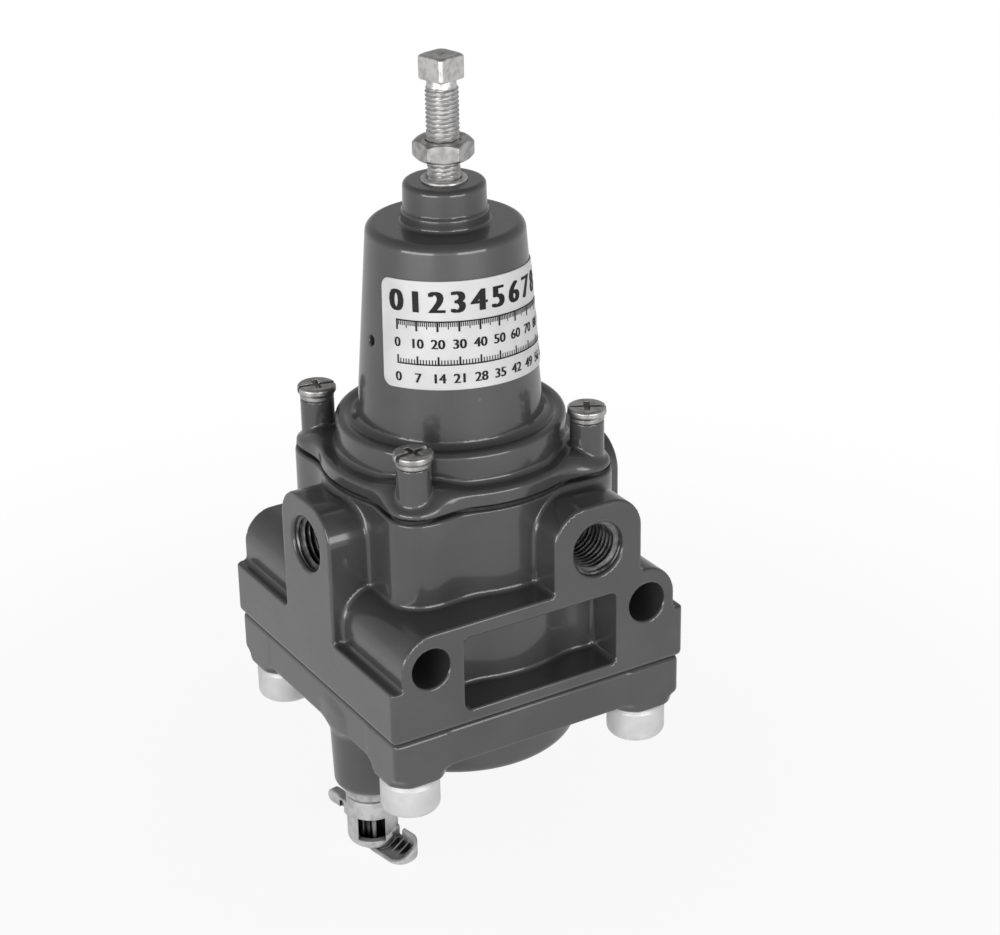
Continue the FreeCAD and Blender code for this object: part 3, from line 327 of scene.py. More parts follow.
def body_field(x, y, z):
    """Distance to the body casting."""
    barrel = barrel_with_lugs(x, y, z, top=BODY_TOP, lug_top=BODY_TOP, lug=5.4, edge=0.6, valley=11.0)
    shoulder = oblong(x, z + 2.8, SHOULDER_HALF, 30.0, 8.4)
    side_pads = oblong(y, z - PAD_MIDDLE, PAD_HALF, PAD_REACH, PAD_CORNER)
    front_pad = oblong(x - GAUGE_SIDE, z - PAD_MIDDLE, PAD_HALF, PAD_REACH, PAD_CORNER)
    pads = np.minimum(side_pads, np.maximum(front_pad, y + 15))
    lower = join(join(z - FOOT_TOP, shoulder, 1.1), pads, 1.2)
    recess = np.maximum(oblong(x, z - RECESS_MIDDLE, RECESS_HALF, 9.6, 1.6), y + RECESS_FLOOR)
    solid = join(cut(lower, recess, 0.7), barrel, 1.1)
    solid = meet(solid, oblong(x, y, BODY_HALF, BODY_HALF, 1.4), 0.6)
    solid = meet(solid, -z, 1.5)
    solid = meet(solid, z - BODY_TOP, 0.7)
    from_side_axis = np.hypot(y, z - PORT_HEIGHT)
    from_front_axis = np.hypot(x - GAUGE_SIDE, z - PORT_HEIGHT)
    side_ports = np.maximum(from_side_axis - PORT_RADIUS, PORT_FLOOR - np.abs(x))
    side_cores = np.maximum(from_side_axis - 4.2, 19.75 - np.abs(x))
    front_port = np.maximum(from_front_axis - PORT_RADIUS, y + PORT_FLOOR)
    front_core = np.maximum(from_front_axis - 3.0, y + 14.75)
    ports = np.minimum(np.minimum(side_ports, side_cores), np.minimum(front_port, front_core))
    solid = cut(solid, ports, 0.8)
    solid = cut(solid, np.hypot(np.abs(x) - BOLT_OFFSET, z - BOLT_HEIGHT) - BOLT_RADIUS, 0.6)
    out = np.hypot(x, y)
    filter_chamber = np.maximum(out - CHAMBER_RADIUS, z - CHAMBER_TOP)
    valve_bore = np.maximum(out - 10.0, z - 38.0)
    diaphragm_seat = np.maximum(out - 24.0, 45.0 - z)
    chambers = np.minimum(np.minimum(filter_chamber, valve_bore), diaphragm_seat)
    chambers = np.minimum(chambers, out - 6.0)
    return cut(solid, chambers, 0.4)


body_enamel = enamel("body_enamel", 69)
body_skin = skin(body_field, (-BODY_HALF, -BODY_HALF, 0), (BODY_HALF, BODY_HALF, BODY_TOP), 0.75)
make_piece("body_casting", [body_skin], body_enamel, "root", ["body"])


# Port threads. 1/4-18 taper pipe thread, cut with a tap after painting, so the bare metal shows in the
# bore. Each is a sleeve of cut metal that lines the drilled port.

PIPE_CREST = 5.75
PIPE_ROOT = 6.85
PIPE_PITCH = 1.411
PIPE_LENGTH = 13.9
SLEEVE_INNER = 6.9
SLEEVE_OUTER = 7.02
SLEEVE_MOUTH = 40.2


def wrap(rings, closed=False, back=False):
    """Quads over rings of points, sharp wherever two strips meet at more than 35 degrees."""
    rings = np.asarray(rings, float)
    if back:
        rings = rings[::-1]
    count, around = rings.shape[:2]
    strips = count if closed else count - 1
    here = np.arange(strips)
    there = (here + 1) % count
    step = rings[there] - rings[here]
    spin = np.roll(rings, -1, axis=1) - np.roll(rings, 1, axis=1)
    lean = np.cross(spin[here] + spin[there], step)
    lean /= np.maximum(np.linalg.norm(lean, axis=2, keepdims=True), 1e-9)

    def smoothed(other, known):
        both = lean + other
        both /= np.maximum(np.linalg.norm(both, axis=2, keepdims=True), 1e-9)
        alike = ((lean * other).sum(2, keepdims=True) > 0.82) & known
        return np.where(alike, both, lean)

    start = smoothed(np.roll(lean, 1, axis=0), (here > 0)[:, None, None] | closed)
    end = smoothed(np.roll(lean, -1, axis=0), (here < strips - 1)[:, None, None] | closed)
    column = np.arange(around)
    beside = (column + 1) % around
    quads = np.stack([(here * around)[:, None] + column, (here * around)[:, None] + beside,
                      (there * around)[:, None] + beside, (there * around)[:, None] + column], 2)
    normals = np.stack([start, np.roll(start, -1, 1), np.roll(end, -1, 1), end], 2)
    return rings.reshape(-1, 3), quads.reshape(-1, 4), normals.reshape(-1, 4, 3)


def angles(around):
    """Even steps round a circle."""
    return np.arange(around) * 2 * math.pi / around


def level_ring(radius, height, around=96):
    """A level ring of points; its radius is one value, or one for each point."""
    angle = angles(around)
    return np.stack([radius * np.cos(angle), radius * np.sin(angle), np.full(around, height)], 1)


def thread(crest, root, pitch, low, high, around=64, narrowing=0.0, lead_in=0.0):
    """Rings of a screw thread between two heights; an inner thread has its root outside its crest."""
    angle = angles(around)
    rings = []
    for height in np.arange(low, high + 1e-6, pitch / 8):
        phase = (height / pitch - angle / (2 * math.pi)) % 1.0
        flank = np.clip(1.35 * (4 * np.abs(phase - 0.5) - 1), -1, 1)
        radius = (crest + root) / 2 + flank * (crest - root) / 2 - narrowing * (height - low)
        thin_paint_and_edge_highlight = max(0.0, lead_in - min(height - low, high - height)) * np.sign(root - crest)
        radius = radius + thin_paint_and_edge_highlight if root > crest else np.minimum(radius, crest + thin_paint_and_edge_highlight)
        rings.append(level_ring(radius, height, around))
    return rings


def brought_to(radius, ring):
    """A ring of points brought to one radius, each at its own height."""
    out = np.maximum(np.hypot(ring[:, :1], ring[:, 1:2]), 1)
    return ring * (radius, radius, 0) / out + ring * (0, 0, 1)


def moved(part, rows, shift=(0, 0, 0)):
    """A part turned by three rows of a rotation and then moved."""
    points, quads, normals = part
    turn = np.array(rows, float).T
    return points @ turn + shift, quads, normals @ turn


cut_metal = Finish("cut_metal", Metallic=0.85)
swirl = cut_metal.noise(0.25, 2)
stain = cut_metal.noise(3.0, 3)
# Painted shade: the thread darkens to near black where the body closes round it in the bore.
painted_bore_shade = cut_metal.openness(10)
shine = cut_metal.blend(stain.between(0.35, 0.7), tint(132), tint(90))
cut_metal.feed(Base_Color=cut_metal.blend(painted_bore_shade.between(0.15, 0.75), tint(14), shine),
               Roughness=0.34 + swirl * 0.2, Normal=cut_metal.bump(swirl, 0.02, 0.5))

sleeve = []
for ring in thread(PIPE_CREST, PIPE_ROOT, PIPE_PITCH, 0.0, PIPE_LENGTH, narrowing=0.031, lead_in=1.1):
    beyond = np.hypot(ring[:, :1], ring[:, 1:2]) > SLEEVE_INNER
    sleeve.append(np.where(beyond, brought_to(SLEEVE_INNER, ring), ring))
outer = [brought_to(SLEEVE_OUTER, ring) for ring in (sleeve[-1], sleeve[0])]
port_thread = wrap(sleeve + outer, closed=True, back=True)
for name, rows, mouth in (
        ("inlet_thread", ((0, 0, 1), (0, 1, 0), (-1, 0, 0)), (-SLEEVE_MOUTH, 0, PORT_HEIGHT)),
        ("outlet_thread", ((0, 0, -1), (0, 1, 0), (1, 0, 0)), (SLEEVE_MOUTH, 0, PORT_HEIGHT)),
        ("gauge_thread", ((1, 0, 0), (0, 0, 1), (0, -1, 0)), (GAUGE_SIDE, -SLEEVE_MOUTH, PORT_HEIGHT))):
    make_piece(name, [moved(port_thread, rows, mouth)], cut_metal, "root")


# Bonnet. A second die casting in the same enamel: a flange with four lugs and screw pillars, a step
# with a groove round its inner rim, a long tapered dome with a vent hole, and a short nose.

UPPER_JOINT = 50.4
FLANGE_TOP = 54.5
EAR_TOP = 51.8
STEP_RADIUS = 28.2
STEP_TOP = 62.3
PILLAR_RADIUS = 4.2
PILLAR_TOP = 62.5
DOME_TOP = 110.8
DOME_FOOT_RADIUS = 22.7
DOME_TOP_RADIUS = 19.0
NOSE_TOP = 120.8
SKIRT_RADIUS = 10.5
SKIRT_TOP = 114.2
VENT_HEIGHT = 84.7
VENT_RADIUS = 1.3


def taper(x, y, z, low, high, low_radius, high_radius):
    """Distance to a cone whose radius is known at two heights."""
    slope = (high_radius - low_radius) / (high - low)
    return (np.hypot(x, y) - low_radius - (z - low) * slope) / math.hypot(1, slope)


def bonnet_field(x, y, z):
    """Distance to the bonnet casting."""
    out = np.hypot(x, y)
    pillar = np.hypot(np.abs(x) - LUG_OFFSET, np.abs(y) - LUG_OFFSET)
    flange = barrel_with_lugs(x, y, z, top=FLANGE_TOP, lug_top=EAR_TOP, lug=5.3, edge=1.2, valley=9.5)
    step = meet(out - STEP_RADIUS, z - STEP_TOP, 1.3)
    dome = taper(x, y, z, STEP_TOP, DOME_TOP, DOME_FOOT_RADIUS, DOME_TOP_RADIUS)
    nose = taper(x, y, z, DOME_TOP, NOSE_TOP, 10.1, 9.9)
    rim_groove = np.hypot(out - 24.6, z - 62.9) - 1.3
    nose_groove = np.hypot(out - 11.4, z - 111.4) - 0.5
    solid = join(flange, step, 1.3)
    solid = join(solid, meet(pillar - PILLAR_RADIUS, z - PILLAR_TOP, 0.35), 0.9)
    solid = cut(solid, rim_groove, 0.5)
    solid = join(solid, meet(dome, z - DOME_TOP, 2.0), 0.9)
    solid = join(solid, meet(nose, z - NOSE_TOP, 1.2), 1.2)
    solid = join(solid, meet(out - SKIRT_RADIUS, z - SKIRT_TOP, 0.7), 0.4)
    solid = cut(solid, nose_groove, 0.3)
    solid = meet(solid, UPPER_JOINT - z, 0.5)
    flange_hollow = np.maximum(out - 24.0, z - 58.5)
    dome_hollow = np.maximum(taper(x, y, z, STEP_TOP, 109.5, 19.9, 16.3), z - 103.9)
    hollow = join(flange_hollow, dome_hollow, 1.5)
    hollow = np.minimum(np.minimum(hollow, out - 5.4), pillar - 2.5)
    hollow = np.minimum(hollow, np.maximum(np.hypot(y, z - VENT_HEIGHT) - VENT_RADIUS, x))
    return cut(solid, hollow, 0.3)


bonnet_skin = skin(bonnet_field, (-BARREL_RADIUS, -BARREL_RADIUS, UPPER_JOINT),
                   (BARREL_RADIUS, BARREL_RADIUS, 120.4), 0.6)
make_piece("bonnet_casting", [bonnet_skin], body_enamel, "root", ["bonnet"])


# Bonnet screws. Four zinc-plated pan heads with crossed slots, each on its own plain washer on top of
# a pillar. They are turned and rolled parts, wiped with oil, and each stopped at its own angle.

WASHER_RADIUS = 4.25
PAN_RADIUS = 4.8
PAN_TOP = 3.3
SLOT_HALF = 0.7
SLOT_REACH = 2.9
SHANK_END = -24.9
SHANK_RADIUS = 2.4


def turned(outline, around=96, closed=True):
    """A lathe-turned part from (radius, height) corners about its own upright axis."""
    return wrap([level_ring(radius, height, around) for radius, height in outline], closed)


def about_z(degrees):
    """Rows of a rotation about the upright axis."""
    c = math.cos(math.radians(degrees))
    s = math.sin(math.radians(degrees))
    return ((c, -s, 0), (s, c, 0), (0, 0, 1))


zinc = Finish("zinc_plate", Metallic=1.0)
zinc_clouds = zinc.noise(2.2, 3)
scuffs = zinc.noise(0.35, 2, (1, 1, 0.3))
zinc.feed(Base_Color=zinc.blend(zinc_clouds.between(0.3, 0.72), tint(204, 0.01), tint(160, 0.03)),
          Roughness=0.2 + zinc_clouds * 0.16 + scuffs * 0.14, Normal=zinc.bump(scuffs, 0.012, 0.5))


def pan_head_field(x, y, z):
    """Distance to a pan head on its washer, standing on the pillar's top."""
    out = np.hypot(x, y)
    washer = meet(out - WASHER_RADIUS, band(z, 0.0, 1.25), 0.2)
    head = meet(out - PAN_RADIUS, band(z, 1.2, PAN_TOP), 0.7)
    short_slot = np.maximum(np.abs(x) - SLOT_HALF, np.abs(y) - SLOT_REACH)
    slots = np.minimum(np.abs(y) - SLOT_HALF, short_slot)
    return cut(join(washer, head, 0.12), np.maximum(slots, 1.9 - z), 0.15)


pan_head = skin(pan_head_field, (-5.05, -5.05, 0), (5.05, 5.05, PAN_TOP), 0.2)
pan_shank = turned([(0.02, SHANK_END), (2.2, SHANK_END), (SHANK_RADIUS, -24.5), (SHANK_RADIUS, 0.1),
                    (0.02, 0.1)], 32)
heads = []
for side, front, angle in ((-1, -1, 8), (1, -1, -31), (1, 1, 52), (-1, 1, -12)):
    pillar_place = (side * LUG_OFFSET, front * LUG_OFFSET, PILLAR_TOP)
    for part in (pan_head, pan_shank):
        heads.append(moved(part, about_z(angle), pillar_place))
make_piece("pan_head_screws", heads, zinc, "root", ["bonnet_screws"])


# Nose bushing. A flanged steel bushing pressed in the nose and tapped 5/16-24 for the adjusting
# screw; its bright flange shows as a ring round the screw.

bright = Finish("bright_steel", Metallic=1.0)
bright_clouds = bright.noise(1.6, 3)
lines = bright.noise(0.3, 2, (1, 1, 0.15))
bright.feed(Base_Color=bright.blend(bright_clouds.between(0.35, 0.7), tint(226, 0.01), tint(192, 0.02)),
            Roughness=0.3 + bright_clouds * 0.1 + lines * 0.14, Normal=bright.bump(lines, 0.008, 0.4))

bushing_outline = [(4.03, 108.4), (5.2, 108.4), (5.4, 108.7), (5.4, 120.3), (5.5, 120.35), (5.6, 120.5),
                   (5.6, 121.1), (5.4, 121.45), (5.1, 121.6), (4.65, 121.6), (4.3, 121.35),
                   (4.03, 121.0)]
make_piece("bushing_ring", [turned(bushing_outline)], bright, "root", ["nose_bushing"])


# Adjusting screw. A 5/16-24 square-head set screw of cut and plated steel, with rolled threads from
# its tip to the undercut below the head; the head's top is dished by the header.

SCREW_PITCH = 1.0583
SCREW_CREST = 3.97
SCREW_TIP = 87.0
THREAD_END = 143.4
HEAD_LOW = 145.0
HEAD_HIGH = 150.9
HEAD_HALF = 3.97
CROWN_SLOPE = 1.6


def square_head_field(x, y, z):
    """Distance to the screw's square head."""
    out = np.hypot(x, y)
    crown = (out + CROWN_SLOPE * z - 4.9 - CROWN_SLOPE * HEAD_HIGH) / math.hypot(1, CROWN_SLOPE)
    solid = meet(oblong(x, y, HEAD_HALF, HEAD_HALF, 0.8), band(z, HEAD_LOW, HEAD_HIGH), 0.5)
    solid = meet(solid, crown, 0.5)
    return cut(solid, np.hypot(out, z - 156.5) - 6.1, 0.3)


screw_rings = thread(SCREW_CREST, 3.55, SCREW_PITCH, SCREW_TIP, THREAD_END, around=48, lead_in=0.4)
tip = [screw_rings[0] * (s, s, 1) + (0, 0, d) for s, d in ((0.005, -1.0), (0.86, -1.0))]
neck = [screw_rings[-1] * (s, s, 1) + (0, 0, d) for s, d in ((0.98, 0.5), (0.98, 1.8), (0.005, 1.8))]
square_head = skin(square_head_field, (-4, -4, HEAD_LOW), (4, 4, HEAD_HIGH), 0.2)
make_piece("set_screw", [moved(square_head, about_z(14)), wrap(tip + screw_rings + neck)],
           bright, "screw", ["adjusting_screw"])


# Lock nut. A thin 5/16-24 hexagon nut of plated steel, bevelled on both faces and countersunk at
# both ends of its thread.

NUT_LOW = 126.1
NUT_HIGH = 130.9
NUT_FLAT = 6.35
BEVEL_SLOPE = 1.4


def hexagon(a, b, flat):
    """Distance to a hexagon whose sides are flat from its middle."""
    sides = [np.abs(a * math.cos(t) + b * math.sin(t)) for t in (0, math.pi / 3, 2 * math.pi / 3)]
    return np.maximum(np.maximum(sides[0], sides[1]), sides[2]) - flat


def lock_nut_field(x, y, z):
    """Distance to the lock nut."""
    out = np.hypot(x, y)
    low_bevel = (out + BEVEL_SLOPE * (NUT_LOW - z) - 6.2) / math.hypot(1, BEVEL_SLOPE)
    high_bevel = (out + BEVEL_SLOPE * (z - NUT_HIGH) - 6.2) / math.hypot(1, BEVEL_SLOPE)
    solid = meet(hexagon(x, y, NUT_FLAT), band(z, NUT_LOW, NUT_HIGH), 0.25)
    solid = meet(solid, np.maximum(low_bevel, high_bevel), 0.25)
    sink = np.maximum(126.7 - z, z - 130.3)
    return cut(solid, np.minimum(out - 4.05, out - 4.03 - np.maximum(sink, 0) * 1.2), 0.12)


nut_skin = skin(lock_nut_field, (-7.4, -7.4, NUT_LOW), (7.4, 7.4, NUT_HIGH), 0.2)
make_piece("hexagon_nut", [nut_skin], zinc, "lock_nut", ["lock_nut"])


# Scale plate. A printed foil of satin white, glued round the front of the dome, with rounded
# corners. It carries two plain scales: bold numbers, ticks and smaller numbers, in black ink.

DOME_LEAN = (DOME_FOOT_RADIUS - DOME_TOP_RADIUS) / (DOME_TOP - STEP_TOP)
APEX = STEP_TOP + DOME_FOOT_RADIUS / DOME_LEAN
LABEL_HEIGHT = 26.4
LABEL_WIDTH = 54.0
LABEL_CORNER = 2.3
LABEL_TILT = 0.03
LABEL_MIDDLE = 89.3
LABEL_TURN = -91.8
UNDERSIDE = 0.02
FOIL_TOP = 0.3
PRINT_TOP = 0.36
SCALE_START = -22.5
SCALE_END = 22.5
UPPER_LINE = 3.5
LOWER_LINE = -7.0
BOLD_SIZE = 7.4
SMALL_SIZE = 3.3
FINE_TICK = 0.26


def on_dome(along, up, lift):
    """Roll a flat point of the plate, in millimetres from its middle, onto the dome's cone."""
    lean = math.atan(DOME_LEAN)
    slant = (APEX - LABEL_MIDDLE) / math.cos(lean)
    along, up = np.broadcast_arrays(np.asarray(along, float), np.asarray(up, float))
    flat_a = along + LABEL_TILT * up
    flat_b = slant - up + LABEL_TILT * along
    turn = np.arctan2(flat_a, flat_b) / math.sin(lean) + math.radians(LABEL_TURN)
    reach = np.hypot(flat_a, flat_b)
    out = reach * math.sin(lean) + lift * math.cos(lean)
    return np.stack([out * np.cos(turn), out * np.sin(turn),
                     APEX - reach * math.cos(lean) + lift * math.sin(lean)], -1)


ends = np.concatenate([[0], np.geomspace(0.04, LABEL_CORNER, 12)])
stations = np.concatenate([ends, np.linspace(LABEL_CORNER, LABEL_WIDTH - LABEL_CORNER, 90)[1:-1],
                           LABEL_WIDTH - ends[::-1]])
foil_lift = np.array([UNDERSIDE, 0.2] + [FOIL_TOP] * 9 + [0.2, UNDERSIDE])
plate_rings = []
for station in stations:
    along = station - LABEL_WIDTH / 2
    inset = min(station, LABEL_WIDTH - station)
    short = LABEL_CORNER - math.sqrt(max(0, LABEL_CORNER ** 2 - max(0, LABEL_CORNER - inset) ** 2))
    half = LABEL_HEIGHT / 2 - short
    rise = np.array([-half, -half, 0.12 - half, *np.linspace(0.8 - half, half - 0.8, 7), half - 0.12,
                     half, half])
    plate_rings.append(on_dome(along, rise, foil_lift))
    if station in (stations[0], stations[-1]):
        flat_end = on_dome(along, rise, UNDERSIDE)
        plate_rings.insert(len(plate_rings) - (station == stations[0]), flat_end)

foil = Finish("label_foil", Coat_Weight=0.2, Coat_Roughness=0.3)
foil_grain = foil.noise(0.4, 2)
foil_cloud = foil.noise(9, 2)
foil.feed(Base_Color=foil.blend(foil_cloud.between(0.3, 0.7), tint(228), tint(216)),
          Roughness=0.34 + foil_grain * 0.14, Normal=foil.bump(foil_grain, 0.01, 0.4))
make_piece("printed_plate", [wrap(plate_rings)], foil, "root", ["scale_plate"])

ink = Finish("black_ink", Specular_IOR_Level=0.3)
wear = ink.noise(0.5, 3)
ink.feed(Base_Color=ink.blend(wear.between(0.45, 0.8), tint(26), tint(48)), Roughness=0.42 + wear * 0.2,
         Normal=ink.bump(wear, 0.008, 0.4))
print_points = []
print_faces = []


def print_shape(corners, faces, lift=PRINT_TOP):
    """Lay flat corners, in millimetres from the plate's middle, onto the plate."""
    start = len(print_points)
    print_points.extend(on_dome([c[0] for c in corners], [c[1] for c in corners], lift).tolist())
    print_faces.extend([[start + i for i in face] for face in faces])


def print_bar(along, up, width, tall):
    """A printed bar about a point."""
    steps = max(1, int(width))
    edge = np.linspace(along - width / 2, along + width / 2, steps + 1)
    corners = [(a, up + s * tall / 2) for a in edge for s in (-1, 1)]
    print_shape(corners, [(2 * i, 2 * i + 2, 2 * i + 3, 2 * i + 1) for i in range(steps)])


def print_number(text, along, up, size, heavy):
    """A printed number centred on a point; shifted copies make its strokes heavier."""
    curve = bpy.data.curves.new("number", "FONT")
    curve.body = text
    curve.size = size
    curve.align_x = "CENTER"
    curve.resolution_u = 3
    thing = show("number", curve)
    flat = bpy.data.meshes.new_from_object(thing.evaluated_get(bpy.context.evaluated_depsgraph_get()))
    for copy, shift in enumerate(np.linspace(-heavy, heavy, 4)):
        corners = [(along + v.co.x + shift, up + v.co.y - 0.35 * size) for v in flat.vertices]
        print_shape(corners, [list(face.vertices) for face in flat.polygons], PRINT_TOP + 0.004 * copy)
    bpy.data.objects.remove(thing)
    bpy.data.meshes.remove(flat)
    bpy.data.curves.remove(curve)


for rank in range(10):
    along = SCALE_START + rank * (SCALE_END - SCALE_START) / 9
    print_number(str(rank), along, 8.3, BOLD_SIZE, 0.42)
    print_number(str(rank * 10), along, -1.9, SMALL_SIZE, 0.13)
    print_number(str(rank * 7), along, -10.3, SMALL_SIZE, 0.13)
for tick in range(91):
    along = SCALE_START + tick * (SCALE_END - SCALE_START) / 90
    tall = 2.4 if tick % 10 == 0 else 1.8 if tick % 5 == 0 else 1.2
    print_bar(along, UPPER_LINE - tall / 2, FINE_TICK if tick % 10 else 0.5, tall)
for tick in range(64):
    along = SCALE_START + tick * (SCALE_END - SCALE_START) / 63
    tall = 2.0 if tick % 7 == 0 else 1.2
    print_bar(along, LOWER_LINE + tall / 2, FINE_TICK if tick % 7 else 0.45, tall)
for up in (UPPER_LINE, LOWER_LINE):
    print_bar((SCALE_START + SCALE_END) / 2, up, SCALE_END - SCALE_START + 0.5, 0.35)
print_mesh = bpy.data.meshes.new("printed_scale")
print_mesh.from_pydata([tuple((np.array(p) + MAIN_AXIS) * 0.001) for p in print_points], [], print_faces)
print_mesh.materials.append(ink.material)
printed = show("printed_scale", print_mesh)
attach(printed, "root")


# Bottom cover. The third casting: a square plate with a lobe at each corner, a round bowl that
# catches water and a slanting boss for the drain, enamelled like the body.

COVER_HALF = 40.65
COVER_CORNER = 1.4
PLATE_DEPTH = 10.2
CAP_OFFSET = 32.8
LOBE_RADIUS = 8.9
LOBE_DEPTH = 13.1
BOWL_RADIUS = 30.3
BOWL_DEPTH = 24.0
DRAIN_X = -31.0
DRAIN_Y = -9.0


def cover_field(x, y, z):
    """Distance to the bottom cover's casting."""
    out = np.hypot(x, y)
    from_cap_screw = np.hypot(np.abs(x) - CAP_OFFSET, np.abs(y) - CAP_OFFSET)
    square = oblong(x, y, COVER_HALF, COVER_HALF, COVER_CORNER)
    lobes = meet(from_cap_screw - LOBE_RADIUS, -LOBE_DEPTH - z, 0.8)
    plate = meet(square, -PLATE_DEPTH - z, 0.8)
    bowl = meet(out - BOWL_RADIUS, band(z, -BOWL_DEPTH, -1.0), 2.4)
    boss = taper(x - DRAIN_X, y - DRAIN_Y, z, -29.0, -4.0, 9.0, 9.8)
    solid = meet(join(plate, lobes, 2.2), square, 0.4)
    solid = join(solid, bowl, 4.5)
    solid = join(solid, meet(boss, band(z, -28.7, -4.0), 2.2), 2.5)
    solid = meet(meet(solid, -40.9 - x, 0.6), z, 1.6)
    bowl_hollow = np.maximum(out - 27.3, -21.0 - z)
    drain_bore = np.maximum(np.hypot(x - DRAIN_X, y - DRAIN_Y) - 6.6, z + 18.0)
    seal_groove = np.maximum(np.abs(out - 29.6) - 1.0, -2.0 - z)
    hollow = np.minimum(bowl_hollow, from_cap_screw - 4.85)
    hollow = np.minimum(np.minimum(hollow, drain_bore), seal_groove)
    return cut(solid, hollow, 0.4)


cover_skin = skin(cover_field, (-41.0, -COVER_HALF, -29.0), (COVER_HALF, COVER_HALF, 0), 0.65)
make_piece("cover_casting", [cover_skin], body_enamel, "root", ["bottom_cover"])


# Cap screws. Four large socket-head screws that hold the cover from below, of forged steel with a
# smooth light grey coating and well rounded heads.

CAP_RADIUS = 7.3
CAP_FOOT = -22.7
CAP_SHANK_RADIUS = 4.7
CAP_SHANK_TOP = 9.4
SOCKET_FLAT = 3.97
SOCKET_FLOOR = 17.7

grey_coat = Finish("grey_coat", Metallic=0.35, Coat_Weight=0.2, Coat_Roughness=0.25)
coat_cloud = grey_coat.noise(5, 3)
coat_grain = grey_coat.noise(0.5, 2)
rub = grey_coat.edge.between(0.53, 0.6)
coat_colour = grey_coat.blend(coat_cloud.between(0.3, 0.7), tint(226), tint(212))
grey_coat.feed(Base_Color=grey_coat.blend(rub * 0.5, coat_colour, tint(240)),
               Roughness=0.34 + coat_cloud * 0.14 + coat_grain * 0.06,
               Normal=grey_coat.bump(coat_grain * 0.5 + coat_cloud, 0.02, 0.5))


def cap_head_field(x, y, z):
    """Distance to a cap screw, head down."""
    out = np.hypot(x, y)
    solid = meet(out - CAP_RADIUS, band(z, CAP_FOOT, -LOBE_DEPTH), 1.8)
    solid = cut(solid, np.hypot(out - 7.45, z + 14.4) - 0.3, 0.15)
    solid = join(solid, meet(out - CAP_SHANK_RADIUS, band(z, -14.5, CAP_SHANK_TOP), 0.5), 0.3)
    return cut(solid, np.maximum(hexagon(x, y, SOCKET_FLAT), z + SOCKET_FLOOR), 0.4)


cap_head = skin(cap_head_field, (-CAP_RADIUS, -CAP_RADIUS, CAP_FOOT),
                (CAP_RADIUS, CAP_RADIUS, CAP_SHANK_TOP), 0.36)
cap_heads = []
for side, front, angle in ((-1, -1, 10), (1, -1, 35), (1, 1, 5), (-1, 1, 50)):
    cap_heads.append(moved(cap_head, about_z(angle), (side * CAP_OFFSET, front * CAP_OFFSET, 0)))
make_piece("cap_screws", cap_heads, grey_coat, "root", ["cover_screws"])


# Drain nipple. Turned and plated steel: a smooth collar against the boss and a spigot that the
# winged cap runs on, threaded near the collar and fluted below, bored through for the water.

BORE = 1.6
SPIGOT = 4.5


def fluted(radius, height):
    """A level ring of points with eight flutes."""
    return level_ring(radius - 0.45 * (1 + np.tanh(5 * np.cos(8 * angles(96)))), height)


collar = [(6.3, -31.6), (6.7, -31.2), (6.7, -29.0), (6.6, -28.7), (6.6, -19.2), (6.3, -19.0), (BORE, -19.0)]
nipple = [level_ring(BORE, -43.8), level_ring(3.2, -43.8), fluted(4.2, -43.7), fluted(SPIGOT, -43.3),
          fluted(SPIGOT, -37.2), level_ring(4.3, -36.9)]
nipple += thread(SPIGOT, 3.95, SCREW_PITCH, -36.6, -32.0, around=96, lead_in=0.3)
nipple += [level_ring(4.3, -31.6)]
nipple += [level_ring(radius, height) for radius, height in collar]
wet_steel = Finish("wet_steel", Metallic=1.0)
film = wet_steel.noise(1.5, 3)
painted_spigot_shade = wet_steel.openness(16)
wet_colour = wet_steel.blend(film.between(0.3, 0.7), tint(226), tint(196))
# Painted shade: the spigot darkens to near black where the cap closes round it.
wet_steel.feed(Base_Color=wet_steel.blend(painted_spigot_shade.between(0.5, 0.95), tint(30), wet_colour),
               Roughness=0.22 + film * 0.16, Normal=wet_steel.bump(film, 0.01, 0.5))
make_piece("drain_nipple", [moved(wrap(nipple, closed=True), about_z(0), (DRAIN_X, DRAIN_Y, 0))],
           wet_steel, "root", ["drain_body"])


# Drain cap. A die-cast light grey cap that runs on the nipple: two windows let the water out, and it
# has two grips. One is an open scoop with ribs across it, the other a short bar with a hollow.

CAP_JOINT = -29.0
CAP_TOP = -2.9
CAP_BOTTOM = -16.9
TIP_BOTTOM = -17.9
CAP_TURN = -80
SLEEVE_RADIUS = 6.4
SCOOP_REACH = 7.2
RIB_PITCH = 2.1
WINDOW_TURN = math.radians(-41)
WINDOW_HALF = 3.4
RIM_SLOPE = 0.55


